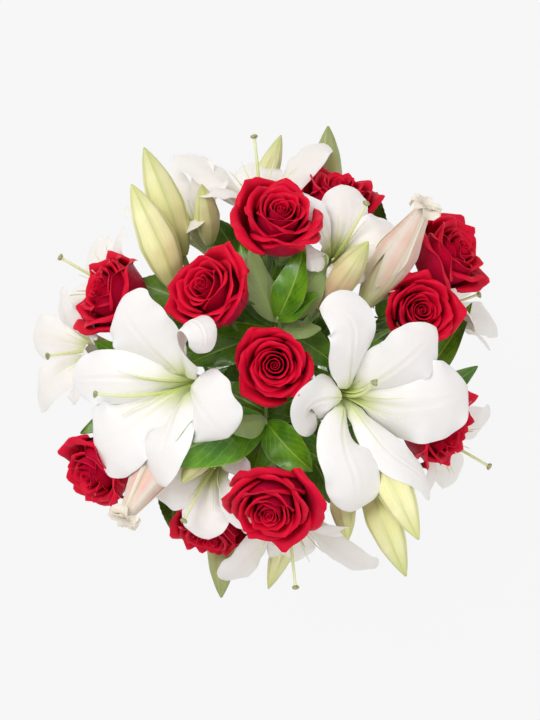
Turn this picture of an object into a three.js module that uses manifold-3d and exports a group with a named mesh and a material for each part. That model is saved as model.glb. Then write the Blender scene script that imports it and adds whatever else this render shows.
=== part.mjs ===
// Roses, lilies and foliage standing in a clear glass vase.
// Millimetres, +Z up, origin at the centre of the vase's foot.
import * as THREE from 'three';
import { mergeVertices } from 'three/addons/utils/BufferGeometryUtils.js';
import Module from 'manifold-3d';

const wasm = await Module();
wasm.setup();

// ---- Driving dimensions ----

const gap = 0.3; // clearance between pieces that rest on each other
const cutMargin = 0.9; // clearance left where a leaf or petal is trimmed round its neighbour
const weld = 0.25; // edges left shorter than this by a cut are closed up

const vaseSize = {
  height: 238,
  footRadius: 55,
  waistRadius: 51,
  rimRadius: 72,
  wall: 4,
  baseThickness: 15,
  facets: 30,
};

// The stems' cone inside the vase; the slanted ends clear its floor by about `footLift`.
const bundle = { neckHeight: 205, footScale: 0.72, twist: 28, footLift: 0.8 };

const roseSize = { radius: 36, height: 55, facets: 10 };
const roseStemRadius = 3.2;
const lilyStemRadius = 4;
const pedicelRadius = 2.8;
const sprigStemRadius = 2.2;
const tepalThickness = 1.5;
const leafThickness = 1;

const colours = {
  glass: { color: 0xdfe9ea, roughness: 0.05, metalness: 0 },
  rose: { color: 0xc0001e, roughness: 0.6, metalness: 0 },
  lily: { color: 0xf8f5f0, roughness: 0.5, metalness: 0 },
  bud: { color: 0xd9dc9a, roughness: 0.45, metalness: 0 },
  roseStem: { color: 0x3f6a1e, roughness: 0.55, metalness: 0 },
  lilyStem: { color: 0x5f8c2c, roughness: 0.5, metalness: 0 },
  foliage: { color: 0x2f5d12, roughness: 0.35, metalness: 0 },
};

// ---- Arrangement: places in mm, leans and azimuths in degrees ----
// A bloom leans `tilt` from upright towards `azimuth`. `neck` is where its stem passes the
// vase's neck, as [radius, azimuth]. A piece with a `twin` is repeated half a turn round. A stem's
// leaves are [share of the way from the neck to its end, azimuth, rise, length, width]. A rose's
// `size` scales its bloom.

const roses = {
  centre: {
    heart: [-1, -3, 478], tilt: 4, azimuth: 200, size: 0.88, neck: [0, 0],
    leaves: [[0.3, 20, 10, 60, 30], [0.5, 200, 20, 60, 30]],
  },
  upper_left: {
    heart: [-67, 70, 466], tilt: 38, azimuth: 140, size: 0.98, neck: [14, 150],
    leaves: [[0.78, 158, 3, 112, 46], [0.5, 230, 20, 58, 28]],
  },
  right: {
    heart: [134, 47, 430], tilt: 12, azimuth: 20, size: 0.84, neck: [28, 14],
    leaves: [[0.3, 120, 20, 62, 30], [0.55, -70, 10, 60, 30]],
  },
  top: {
    twin: 'bottom', heart: [6, 138, 463], tilt: 35, azimuth: 76, size: 0.96, neck: [14, 90],
    leaves: [[0.3, 60, 0, 62, 32], [0.5, 119, 12, 104, 38]],
  },
  far_right: {
    twin: 'far_left', heart: [176, 108, 392], tilt: 58, azimuth: 32, size: 0.92, neck: [40, 32],
    leaves: [[0.6, 81, 12, 112, 36], [0.6, -10, -15, 60, 30]],
  },
  left: {
    twin: 'low_right', heart: [-167, 70, 391], tilt: 62, azimuth: 152, size: 0.92, neck: [28, 144],
    leaves: [[0.35, 190, -5, 62, 32], [0.6, 110, -5, 58, 30]],
  },
  far_top: {
    twin: 'far_bottom', heart: [61, 170, 378], tilt: 65, azimuth: 78, size: 0.92, neck: [40, 72],
    leaves: [[0.3, 40, -5, 62, 32], [0.55, 110, -20, 58, 30]],
  },
};

// A lily's six tepals leave its trumpet 60 degrees apart, the first at `roll`. Tepal rows:
// [tip azimuth, length, width, start, end, ease, twist, curl, share where the curl starts]. The angle
// between a tepal and the lily's axis grows from `start` to `end`; a larger `ease` keeps it closed
// for longer. A `curl` turns the tepal's end sideways, on edge.
const lilies = {
  hero_left: {
    seat: [-65, -18, 422], tilt: 42, azimuth: 187, roll: 108,
    style: [96, 35, 186], stem: 'left',
    tepals: [
      [127, 98, 70, 40, 140, 2.2],
      [190, 111, 50, 42, 115, 1.6],
      [206, 113, 72, 42, 135, 2],
      [218, 100, 48, 44, 140, 1.8],
      [293, 80, 72, 44, 150, 1.6],
      [114, 118, 34, 54, 124, 1.75, 70, -281, 0.38],
    ],
  },
  hero_right: {
    seat: [56, -27, 414], tilt: 30, azimuth: -25, roll: 112,
    style: [76, 19, 101], stem: 'right',
    tepals: [
      [78, 110, 46, 44, 120, 1.2, 0, 100, 0.5],
      [224, 60, 48, 66, 114, 0.61, 30, 150, 0.45],
      [350, 108, 54, 44, 130, 1.8, 0, -80, 0.4],
      [345, 116, 34, 46, 105, 1.4, 40, -54, 0.6],
      [24, 106, 78, 44, 115, 1.8],
      [42, 95, 58, 42, 110, 1.6],
    ],
  },
  back_top: {
    twin: 'back_bottom', seat: [-10, 116, 372], tilt: 66, azimuth: 95, roll: 155,
    style: [92, 11, 98], stem: 'top',
    tepals: [
      [139, 103, 40, 34, 95, 1],
      [215, 66, 36, 20, 100, 1],
      [275, 32, 30, 24, 140, 1],
      [335, 50, 30, 20, 124, 1],
      [68, 97, 38, 34, 95, 1],
      [96, 62, 46, 34, 90, 1],
    ],
  },
  upper_right: {
    twin: 'lower_left', seat: [48, 86, 396], tilt: 34, azimuth: 52, roll: 80,
    style: [75, 24, 66], stem: 'upper_right',
    tepals: [
      [102, 58, 46, 34, 100, 1.3],
      [139, 60, 26, 30, 95, 1.3],
      [196, 34, 28, 40, 130, 1],
      [255, 22, 20, 50, 165, 1],
      [320, 28, 24, 50, 160, 1],
      [24, 54, 46, 34, 110, 1.3],
    ],
  },
  far_left: {
    seat: [-148, 12, 342], tilt: 64, azimuth: 182, roll: 160,
    style: [66, 10, 200], stem: 'left',
    tepals: [
      [183, 82, 44, 30, 100, 1],
      [207, 99, 42, 30, 114, 1],
      [280, 50, 34, 20, 100, 1],
      [340, 46, 34, 20, 100, 1],
      [40, 34, 32, 24, 120, 1],
      [100, 60, 40, 26, 100, 1],
    ],
  },
  left: {
    twin: 'low_right', seat: [-122, 52, 334], tilt: 74, azimuth: 150, roll: 130,
    style: [92, 10, 150], stem: 'left',
    tepals: [
      [126, 78, 46, 28, 90, 1],
      [182, 76, 46, 28, 90, 1],
      [250, 46, 32, 24, 110, 1],
      [310, 24, 26, 24, 150, 1],
      [10, 24, 26, 24, 150, 1],
      [72, 58, 36, 20, 92, 1],
    ],
  },
  behind_buds: {
    seat: [-62, 104, 352], tilt: 62, azimuth: 121, roll: 125,
    style: [66, 10, 120], stem: 'upper_left',
    tepals: [
      [120, 80, 42, 30, 90, 1],
      [160, 66, 34, 18, 80, 1],
      [245, 30, 28, 24, 130, 1],
      [305, 44, 30, 18, 100, 1],
      [5, 56, 30, 18, 84, 1],
      [65, 62, 30, 18, 76, 1],
    ],
  },
  far_right: {
    seat: [130, 41, 336], tilt: 80, azimuth: 20, roll: 48,
    style: [66, 8, 20], stem: 'right',
    tepals: [
      [34, 90, 38, 30, 90, 1],
      [108, 58, 32, 16, 86, 1],
      [168, 34, 30, 20, 120, 1],
      [228, 54, 32, 16, 90, 1],
      [288, 58, 32, 16, 86, 1],
      [2, 92, 38, 30, 90, 1],
    ],
  },
};

// Buds run from base to tip. The two `opening` ones are lilies whose tepals still lean together.
const buds = {
  tall_yellow: { twin: 'low_yellow', base: [-90, 68, 408], tip: [-127, 157, 456], radius: 18, stem: 'upper_left' },
  tall_olive: { twin: 'low_olive', base: [-85, 98, 392], tip: [-118, 193, 428], radius: 17, stem: 'upper_left' },
  small_olive: { twin: 'low_small', base: [-61, 110, 376], tip: [-66, 160, 428], radius: 12, stem: 'upper_left' },
  top_split: { twin: 'bottom_split', base: [-24, 142, 330], tip: [6, 214, 352], radius: 12, stem: 'top' },
  top_green: { twin: 'bottom_green', base: [46, 138, 296], tip: [51, 225, 332], radius: 16, stem: 'top' },
  peach: { twin: 'low_peach', base: [42, 50, 396], tip: [82, 106, 462], radius: 15, stem: 'upper_right' },
};
const openingBuds = {
  pink: {
    twin: 'low_pink', seat: [76, 42, 392], tilt: 64, azimuth: 59, roll: 30,
    style: [60, 4, 60], stem: 'upper_right', closing: 29,
    tepals: Array.from({ length: 6 }, (_, k) => [30 + 60 * k, 112, 36, 16, 16, 1]),
  },
};

// Lily stems: where each forks, and the way it points there.
const lilyStems = {
  left: {
    neck: [28, 190], fork: [-60, 4, 300], tilt: 34, azimuth: 175,
    leaves: [[0.4, 215, 0, 84, 17], [0.8, 160, -10, 88, 17]],
  },
  right: {
    neck: [28, 350], fork: [60, 4, 292], tilt: 34, azimuth: 5,
    leaves: [[0.4, 330, 0, 84, 17], [0.8, 25, -10, 88, 17]],
  },
  upper_left: {
    twin: 'low_right', neck: [28, 118], fork: [-44, 62, 312], tilt: 35, azimuth: 125,
    leaves: [[0.4, 100, 0, 84, 17], [0.8, 160, -10, 88, 17]],
  },
  top: {
    twin: 'bottom', neck: [40, 100], fork: [-8, 84, 300], tilt: 40, azimuth: 95,
    leaves: [[0.45, 140, 0, 84, 17], [0.8, 60, -15, 84, 17]],
  },
  upper_right: {
    twin: 'lower_left', neck: [28, 55], fork: [36, 44, 310], tilt: 30, azimuth: 52,
    leaves: [[0.4, 20, 0, 80, 17], [0.8, 58, 0, 112, 26]],
  },
};

// Leaves: [from, to, width, roll, arch]; each starts on or near its own stem.
const sprigs = {
  upper: {
    neck: [14, 30], tip: [2, 40, 430], tilt: 30, azimuth: 110,
    leaves: [
      [[1, 36, 418], [-22, 104, 432], 28, 200, 8],
      [[2, 38, 424], [26, 102, 440], 32, -25, 10],
      [[2, 38, 426], [38, 62, 436], 26, -40, 6],
      [[2, 36, 416], [46, 96, 430], 34, 190, 8],
      [[1, 32, 400], [-32, 108, 400], 30, -10, 6],
      [[2, 34, 404], [42, 30, 418], 22, 150, 8],
      [[0, 30, 396], [-76, 36, 402], 34, 20, 8],
      [[0, 28, 390], [-84, 4, 386], 36, 10, 6],
      [[2, 30, 392], [54, 8, 380], 32, -10, 6],
    ],
  },
  lower: {
    neck: [14, 216], tip: [-8, -56, 428], tilt: 30, azimuth: 270,
    leaves: [
      [[-8, -54, 424], [-102, -90, 460], 52, -12, 14],
      [[-8, -54, 424], [34, -98, 436], 38, 20, 10],
      [[-7, -50, 410], [48, -92, 410], 36, -10, 8],
      [[-8, -52, 414], [-22, -106, 408], 30, 0, 6],
      [[-8, -52, 428], [-46, -54, 452], 28, 200, 8],
      [[-7, -48, 402], [26, -52, 414], 22, -40, 8],
      [[-7, -46, 394], [-54, -22, 380], 34, 10, 6],
      [[-7, -48, 394], [40, -18, 378], 30, -10, 6],
    ],
  },
  right_collar: {
    neck: [40, -30], tip: [106, -50, 338], tilt: 65, azimuth: -24,
    leaves: [
      [[105, -49, 336], [192, -4, 350], 32, 6, 6],
      [[106, -46, 340], [186, 56, 356], 30, -20, 12],
      [[84, -52, 392], [110, -114, 422], 28, 0, 4],
      [[84, -40, 322], [130, -20, 318], 26, -10, 6],
    ],
  },
  left_collar: {
    neck: [40, 192], tip: [-112, -28, 342], tilt: 65, azimuth: 194,
    leaves: [
      [[-106, -26, 340], [-166, 20, 402], 30, -10, 6],
      [[-109, -27, 340], [-170, -38, 350], 28, 10, 6],
      [[-97, -24, 334], [-184, -68, 346], 30, 15, 6],
      [[-86, -20, 326], [-104, -88, 306], 30, -10, 6],
    ],
  },
};

// ---- Vectors and directions ----

const rad = THREE.MathUtils.degToRad;
const up = new THREE.Vector3(0, 0, 1);
const vec = (p) => new THREE.Vector3(p[0], p[1], p[2]);

// The unit vector that leans `tilt` from upright towards `azimuth`.
function leaning(tilt, azimuth) {
  const flat = Math.sin(rad(tilt));
  return new THREE.Vector3(
    flat * Math.cos(rad(azimuth)), flat * Math.sin(rad(azimuth)), Math.cos(rad(tilt)));
}

// A point of the stem bundle: `share` runs from 0 at the vase's floor to 1 at its neck.
function bundlePoint([radius, azimuth], share) {
  const scale = bundle.footScale + (1 - bundle.footScale) * share;
  const angle = rad(azimuth + bundle.twist * (1 - share));
  const floor = vaseSize.baseThickness + bundle.footLift;
  return new THREE.Vector3(
    radius * scale * Math.cos(angle),
    radius * scale * Math.sin(angle),
    floor + (bundle.neckHeight - floor) * share);
}

// ---- Solids ----

// A closed indexed geometry as a manifold solid, its faces turned to point outwards.
function solidFrom(positions, triangles) {
  let volume = 0;
  const corner = (k) => vec(positions.slice(3 * triangles[k], 3 * triangles[k] + 3));
  for (let k = 0; k < triangles.length; k += 3) {
    volume += corner(k).dot(corner(k + 1).cross(corner(k + 2)));
  }
  const triVerts = Uint32Array.from(triangles);
  if (volume < 0) {
    for (let k = 0; k < triVerts.length; k += 3) {
      [triVerts[k], triVerts[k + 1]] = [triVerts[k + 1], triVerts[k]];
    }
  }
  const mesh = new wasm.Mesh({ numProp: 3, vertProperties: Float32Array.from(positions), triVerts });
  return new wasm.Manifold(mesh);
}

function solidFromGeometry(geometry) {
  geometry.deleteAttribute('normal');
  geometry.deleteAttribute('uv');
  const merged = mergeVertices(geometry, 1e-4);
  return solidFrom(Array.from(merged.attributes.position.array), Array.from(merged.index.array));
}

function geometryFromSolid(solid) {
  const mesh = solid.getMesh();
  const geometry = new THREE.BufferGeometry();
  geometry.setAttribute('position', new THREE.BufferAttribute(Float32Array.from(mesh.vertProperties), 3));
  geometry.setIndex(new THREE.BufferAttribute(Uint32Array.from(mesh.triVerts), 1));
  geometry.computeVertexNormals();
  return geometry;
}

const unite = (solids) => solids.reduce((whole, solid) => whole.add(solid));

// The body of a cut piece: its largest part.
function largestPart(solid) {
  return solid.decompose().reduce((best, part) => (part.volume() > best.volume() ? part : best));
}

// The same solid without the edges shorter than `weld`: their two corners become one.
function welded(solid) {
  const { vertProperties, triVerts } = solid.getMesh();
  const corner = (k) => vec(vertProperties.slice(3 * k, 3 * k + 3));
  const joined = Array.from({ length: vertProperties.length / 3 }, (_, k) => k);
  const root = (k) => (joined[k] === k ? k : root(joined[k]));
  triVerts.forEach((vertex, k) => {
    const [a, b] = [root(vertex), root(triVerts[k % 3 === 2 ? k - 2 : k + 1])];
    if (a !== b && corner(a).distanceTo(corner(b)) < weld) joined[b] = a;
  });
  const triangles = [];
  for (let k = 0; k < triVerts.length; k += 3) {
    const [a, b, c] = [triVerts[k], triVerts[k + 1], triVerts[k + 2]].map(root);
    if (a !== b && b !== c && c !== a) triangles.push(a, b, c);
  }
  return largestPart(solidFrom(Array.from(vertProperties), triangles));
}

// The same solid, swollen by `margin` along its corner normals and joined with itself, so that
// no thin edge is lost.
function swollen(solid, margin) {
  const geometry = geometryFromSolid(solid);
  const { position, normal } = geometry.attributes;
  const positions = Array.from(position.array, (value, k) => value + margin * normal.array[k]);
  return solidFrom(positions, Array.from(geometry.index.array)).add(solid);
}

// A lathe about the row's own Z from [radius, height] pairs.
function turned(profile, facets) {
  const points = profile.map(([radius, height]) => new THREE.Vector2(radius, height));
  const geometry = new THREE.LatheGeometry(points, facets);
  geometry.rotateX(Math.PI / 2);
  return solidFromGeometry(geometry);
}

// A round rod of `radius` along a curve.
function rod(curve, radius, steps, sides = 6) {
  const section = new THREE.Shape();
  for (let k = 0; k < sides; k += 1) {
    const angle = (2 * Math.PI * k) / sides;
    const [x, y] = [radius * Math.cos(angle), radius * Math.sin(angle)];
    if (k === 0) section.moveTo(x, y);
    else section.lineTo(x, y);
  }
  section.closePath();
  const options = { steps, extrudePath: curve, bevelEnabled: false, curveSegments: 1 };
  return solidFromGeometry(new THREE.ExtrudeGeometry(section, options));
}

// A thin closed sheet. Each row is a list of { point, normal } across it.
function sheet(rows, thickness) {
  const across = rows[0].length;
  const positions = [];
  for (const side of [0.5, -0.5]) {
    for (const { point, normal } of rows.flat()) {
      positions.push(...point.clone().addScaledVector(normal, side * thickness).toArray());
    }
  }
  const under = rows.length * across;
  const triangles = [];
  const quad = (a, b, c, d) => triangles.push(a, b, c, a, c, d);
  for (let i = 0; i + 1 < rows.length; i += 1) {
    for (let j = 0; j + 1 < across; j += 1) {
      const a = i * across + j;
      quad(a, a + across, a + across + 1, a + 1);
      quad(under + a, under + a + 1, under + a + across + 1, under + a + across);
    }
    const [left, right] = [i * across, i * across + across - 1];
    quad(left + across, left, under + left, under + left + across);
    quad(right, right + across, under + right + across, under + right);
  }
  const last = (rows.length - 1) * across;
  for (let j = 0; j + 1 < across; j += 1) {
    quad(j, j + 1, under + j + 1, under + j);
    quad(last + j + 1, last + j, under + last + j, under + last + j + 1);
  }
  return solidFrom(positions, triangles);
}

// ---- Flowers ----

// A rose: its cup of packed petals, widest near the top, on a small round seat.
function roseSolid(size) {
  const profile = [
    [0, 0], [0.12, 0], [0.2, 0.06], [0.6, 0.2], [0.92, 0.5], [1, 0.78], [0.9, 0.96],
    [0.62, 0.93], [0.3, 1], [0, 1],
  ].map(([r, h]) => [r * roseSize.radius * size, h * roseSize.height]);
  return turned(profile, roseSize.facets);
}

const tepalSteps = 5;
const trumpet = { radius: 11, depth: 27, floor: 9, seatRadius: 4 }; // the tube that the tepals leave

const smooth = (low, high, value) => THREE.MathUtils.smoothstep(value, low, high);

// The two edges of a tepal, row by row, in the lily's own frame with its axis along Z. The spine
// leaves the trumpet's rim at `baseAzimuth` and turns away from the axis as the tables say. Near
// the trumpet a tepal is kept narrow enough to clear the next ones. In a closed lily it leans in by
// `closing` past the middle and its tip turns out again.
function tepalRows(baseAzimuth, tepal, closing) {
  const [tipAzimuth, length, width, start, end, ease, twist = 0, curl = 0, curlStart = 0.6] = tepal;
  const fine = 6;
  const steps = curl ? 2 * tepalSteps : tepalSteps;
  const bend = THREE.MathUtils.euclideanModulo(tipAzimuth - baseAzimuth + 180, 360) - 180;
  const point = leaning(90, baseAzimuth).multiplyScalar(trumpet.radius).setZ(trumpet.depth);
  const rows = [];
  for (let k = 1; k <= steps * fine; k += 1) {
    const s = k / (steps * fine);
    const angle = rad(closing
      ? start - closing * (smooth(0, 0.6, s) - smooth(0.86, 1, s))
      : start + (end - start) * s ** ease);
    const outward = leaning(90, baseAzimuth + bend * smooth(0, 1, s) + curl * smooth(curlStart, 1, s));
    const along = outward.clone().multiplyScalar(Math.sin(angle)).addScaledVector(up, Math.cos(angle));
    point.addScaledVector(along, length / (steps * fine));
    if (k % fine === 0) {
      const sideways = outward.clone().applyAxisAngle(up, Math.PI / 2)
        .applyAxisAngle(along, rad(-twist * smooth(curlStart - 0.25, curlStart + 0.1, s)));
      const normal = sideways.clone().cross(along);
      const room = 0.48 * Math.hypot(point.x, point.y);
      const half = Math.max(1.2, Math.min(0.5 * width * tepalWidth(s), room));
      rows.push([-half, half].map((side) => ({ point: point.clone().addScaledVector(sideways, side), normal })));
    }
  }
  return rows;
}

// Share of a tepal's full width at share s of its length: a quick rise to the full width, then a
// rounded fall to the tip.
function tepalWidth(s) {
  const peak = 0.6;
  const rise = Math.sin(0.5 * Math.PI * Math.min(1, s / peak)) ** 0.5;
  const fall = (1 - Math.max(0, (s - peak) / (1 - peak)) ** 2.6) ** 0.7;
  return rise * fall;
}

// A lily as one closed skin: an inner and an outer face that run from the trumpet's floor out over
// the six tepals, joined along the tepals' edges; then its style.
function lilySolid({ roll, tepals, style, closing = 0 }) {
  const positions = [];
  const triangles = [];
  const add = (point) => positions.push(...point.toArray()) / 3 - 1;
  const quad = (a, b, c, d) => triangles.push(a, b, c, a, c, d);
  const ring = (radius, height) => tepals.map((_, k) => (
    add(leaning(90, roll + 60 * k - 30).multiplyScalar(radius).setZ(height))));
  const [innerPole, outerPole] = [add(up.clone().multiplyScalar(trumpet.floor)), add(new THREE.Vector3())];
  const seatRing = ring(trumpet.seatRadius, 0);
  const rims = [ring(trumpet.radius, trumpet.depth), ring(trumpet.radius + tepalThickness, trumpet.depth - 1)];

  tepals.forEach((tepal, k) => {
    const next = (k + 1) % tepals.length;
    triangles.push(innerPole, rims[0][k], rims[0][next], outerPole, seatRing[next], seatRing[k]);
    quad(seatRing[k], seatRing[next], rims[1][next], rims[1][k]);
    let [inner, outer] = rims.map((rim) => [rim[k], rim[next]]);
    for (const row of tepalRows(roll + 60 * k, tepal, closing)) {
      const [above, below] = [0.5, -0.5].map((side) => (
        row.map(({ point, normal }) => add(point.clone().addScaledVector(normal, side * tepalThickness)))));
      quad(inner[0], above[0], above[1], inner[1]);
      quad(outer[0], outer[1], below[1], below[0]);
      quad(outer[0], below[0], above[0], inner[0]);
      quad(inner[1], above[1], below[1], outer[1]);
      [inner, outer] = [above, below];
    }
    quad(inner[0], outer[0], outer[1], inner[1]);
  });

  const [styleLength, styleLean, styleAzimuth] = style;
  const route = new THREE.QuadraticBezierCurve3(
    new THREE.Vector3(0, 0, trumpet.floor / 2), new THREE.Vector3(0, 0, styleLength * 0.55),
    leaning(styleLean, styleAzimuth).multiplyScalar(styleLength));
  return solidFrom(positions, triangles).add(rod(route, 1.5, 3, 5));
}

// A closed bud, drawn out from its base to its tip.
function budSolid(length, radius) {
  const profile = [
    [0, 0], [0.3, 0], [0.5, 0.05], [0.86, 0.25], [1, 0.47], [0.74, 0.72], [0.36, 0.9], [0.1, 1], [0, 1],
  ].map(([r, h]) => [r * radius, h * length]);
  return turned(profile, 7);
}

// ---- Stems and leaves ----

// A stem from the vase's floor through its neck, then a curve that reaches `seat` along `axis`.
function stemCurve(neck, seat, axis) {
  const [foot, top] = [bundlePoint(neck, 0), bundlePoint(neck, 1)];
  const reach = 0.42 * top.distanceTo(seat);
  const path = new THREE.CurvePath();
  path.add(new THREE.LineCurve3(foot, top));
  path.add(new THREE.CubicBezierCurve3(
    top,
    top.clone().addScaledVector(top.clone().sub(foot).normalize(), reach),
    seat.clone().addScaledVector(axis, -reach),
    seat));
  return path;
}

// A short stem from a fork to a flower's seat.
function pedicelCurve(fork, direction, seat, axis) {
  const reach = 0.4 * fork.distanceTo(seat);
  return new THREE.CubicBezierCurve3(
    fork, fork.clone().addScaledVector(direction, reach), seat.clone().addScaledVector(axis, -reach), seat);
}

// A leaf from one point to another: an arched blade. `roll` turns it about its own length.
function leafSolid(from, to, width, roll, arch) {
  const along = to.clone().sub(from).normalize();
  const level = new THREE.Vector3().crossVectors(along, up).normalize();
  const sideways = level.applyAxisAngle(along, rad(roll));
  const normal = new THREE.Vector3().crossVectors(sideways, along);
  const rows = [];
  for (const s of [0, 0.14, 0.4, 0.7, 1]) {
    const half = Math.max(1.3, 0.5 * width * Math.sin(Math.PI * s ** 0.8) ** 0.8);
    const middle = from.clone().lerp(to, s).addScaledVector(up, 4 * arch * s * (1 - s));
    rows.push([-half, half].map((side) => ({ point: middle.clone().addScaledVector(sideways, side), normal })));
  }
  return sheet(rows, leafThickness);
}

// A leaf that leaves a stem at a share of its way above the neck, up by `rise` degrees.
function leafOnStem(curve, [share, azimuth, rise, length, width]) {
  const from = curve.curves[1].getPointAt(share);
  const to = from.clone().addScaledVector(leaning(90 - rise, azimuth), length);
  return leafSolid(from, to, width, 0, length * 0.12);
}

// A straight petiole from the stem's nearest point to a leaf's foot.
function petiole(curve, from) {
  const nearest = curve.getSpacedPoints(60).reduce((best, p) => (
    p.distanceTo(from) < best.distanceTo(from) ? p : best));
  const beyond = from.clone().lerp(nearest, -0.02).add(new THREE.Vector3(0, 0, 0.1));
  return rod(new THREE.LineCurve3(nearest, beyond), 1.5, 1, 4);
}

// ---- Building the arrangement ----

const arrangement = new THREE.Group();
arrangement.name = 'arrangement';
const obstacles = []; // solids in the arrangement's frame that leaves and tepals are trimmed round

function addPiece(name, solid, finish, matrix = new THREE.Matrix4()) {
  obstacles.push({ name, solid: solid.transform(matrix.elements) });
  const mesh = new THREE.Mesh(geometryFromSolid(solid), new THREE.MeshStandardMaterial(finish));
  mesh.name = name;
  matrix.decompose(mesh.position, mesh.quaternion, mesh.scale);
  arrangement.add(mesh);
}

// A soft solid in its own frame, trimmed round every obstacle that isn't part of its own piece.
function trimmedSolid(name, solid, matrix) {
  let body = solid.transform(matrix.elements);
  for (const other of obstacles) {
    if (other.name !== name && boxesMeet(body, other.solid)) {
      body = body.subtract(other.swollen ??= swollen(other.solid, cutMargin));
    }
  }
  return body.transform(matrix.clone().invert().elements);
}

function boxesMeet(first, second) {
  const [a, b] = [first.boundingBox(), second.boundingBox()];
  return [0, 1, 2].every((k) => a.min[k] < b.max[k] + 1 && b.min[k] < a.max[k] + 1);
}

// The frame of a flower: its own Z along `axis`, its origin at `seat`.
function flowerFrame(seat, axis) {
  const rotation = new THREE.Quaternion().setFromUnitVectors(up, axis);
  return new THREE.Matrix4().compose(seat, rotation, new THREE.Vector3(1, 1, 1));
}

const halfTurn = new THREE.Matrix4().makeRotationZ(Math.PI);

// Each entry of a table by name, and again by its twin's name with the half turn.
function* withTwins(table) {
  for (const [name, entry] of Object.entries(table)) {
    yield [name, entry, new THREE.Matrix4(), entry.stem];
    if (entry.twin) yield [entry.twin, entry, halfTurn, entry.twinStem ?? lilyStems[entry.stem]?.twin];
  }
}

function axisOf({ base, tip, tilt, azimuth }) {
  return base ? vec(tip).sub(vec(base)).normalize() : leaning(tilt, azimuth);
}

function seatOf({ heart, seat, base, tilt, azimuth }) {
  if (heart) return vec(heart).addScaledVector(leaning(tilt, azimuth), -roseSize.height);
  return vec(seat ?? base);
}

const heads = {}; // seats and axes that each lily stem carries

function addFlower(name, entry, solid, finish, turn, stem) {
  const [seat, axis] = [seatOf(entry), axisOf(entry)];
  const frame = turn.clone().multiply(flowerFrame(seat, axis));
  const soft = finish === colours.lily;
  addPiece(name, soft ? welded(largestPart(trimmedSolid(name, solid, frame))) : solid, finish, frame);
  if (!stem) return;
  heads[stem] ??= [];
  heads[stem].push([seat.applyMatrix4(turn), axis.transformDirection(turn)]);
}

const r = vaseSize;
const vaseProfile = [
  [0, 0], [r.footRadius - 3, 0], [r.footRadius, 3], [r.footRadius + 0.5, 12],
  [r.waistRadius, 74], [r.waistRadius + 2.5, 128], [r.waistRadius + 10, 188], [r.rimRadius, r.height - 1.5],
  [r.rimRadius - 1.5, r.height], [r.rimRadius - r.wall + 1, r.height],
  [r.rimRadius - r.wall, r.height - 1.5], [r.waistRadius + 10 - r.wall, 188],
  [r.waistRadius + 2.5 - r.wall, 128], [r.waistRadius - r.wall, 74], [r.footRadius - r.wall - 1, 24],
  [r.footRadius - r.wall - 8, r.baseThickness], [0, r.baseThickness],
];
addPiece('vase', turned(vaseProfile, r.facets), colours.glass);

for (const [name, entry, turn] of withTwins(roses)) {
  addFlower(`rose_bloom_${name}`, entry, roseSolid(entry.size), colours.rose, turn);
}
for (const [name, entry, turn, stem] of withTwins(buds)) {
  const length = vec(entry.base).distanceTo(vec(entry.tip));
  addFlower(`lily_bud_${name}`, entry, budSolid(length, entry.radius), colours.bud, turn, stem);
}
for (const [name, entry, turn, stem] of withTwins(openingBuds)) {
  addFlower(`lily_opening_bud_${name}`, entry, lilySolid(entry), colours.lily, turn, stem);
}
for (const [name, entry, turn, stem] of withTwins(lilies)) {
  addFlower(`lily_bloom_${name}`, entry, lilySolid(entry), colours.lily, turn, stem);
}

// Every stem's rods are settled before any leaf, so that leaves give way to stems.
const stems = [];

function planStem(name, finish, turn, rods, leaves) {
  for (const solid of rods) obstacles.push({ name, solid: solid.transform(turn.elements) });
  stems.push({ name, finish, turn, rods, leaves });
}

for (const [name, entry, turn] of withTwins(roses)) {
  const axis = axisOf(entry);
  const curve = stemCurve(entry.neck, seatOf(entry).addScaledVector(axis, -gap), axis);
  const leaves = entry.leaves.map((leaf) => leafOnStem(curve, leaf));
  planStem(`rose_stem_${name}`, colours.roseStem, turn, [rod(curve, roseStemRadius, 10)], leaves);
}

for (const [name, entry, turn] of withTwins(lilyStems)) {
  const [fork, direction] = [vec(entry.fork), leaning(entry.tilt, entry.azimuth)];
  const main = stemCurve(entry.neck, fork, direction);
  const back = turn.clone().invert();
  const pedicels = heads[name].map(([seat, axis], k) => {
    const [end, way] = [seat.clone().applyMatrix4(back), axis.clone().transformDirection(back)];
    const start = fork.clone().addScaledVector(direction, -1.5 - k);
    return rod(pedicelCurve(start, direction, end.addScaledVector(way, -gap), way), pedicelRadius, 5, 5);
  });
  const leaves = entry.leaves.map((leaf) => leafOnStem(main, leaf));
  planStem(`lily_stem_${name}`, colours.lilyStem, turn, [rod(main, lilyStemRadius, 10), ...pedicels], leaves);
}

for (const [name, entry, turn] of withTwins(sprigs)) {
  const curve = stemCurve(entry.neck, vec(entry.tip), leaning(entry.tilt, entry.azimuth));
  const petioles = entry.leaves.map(([from]) => petiole(curve, vec(from)));
  const leaves = entry.leaves.map(([from, to, width, roll, arch]) => leafSolid(vec(from), vec(to), width, roll, arch));
  planStem(
    `foliage_sprig_${name}`, colours.foliage, turn, [rod(curve, sprigStemRadius, 8, 5), ...petioles], leaves);
}

for (const { name, finish, turn, rods, leaves } of stems) {
  const blades = leaves.map((leaf) => trimmedSolid(name, leaf, turn));
  addPiece(name, welded(largestPart(unite([...rods, ...blades]))), finish, turn);
}

export default arrangement;
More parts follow.
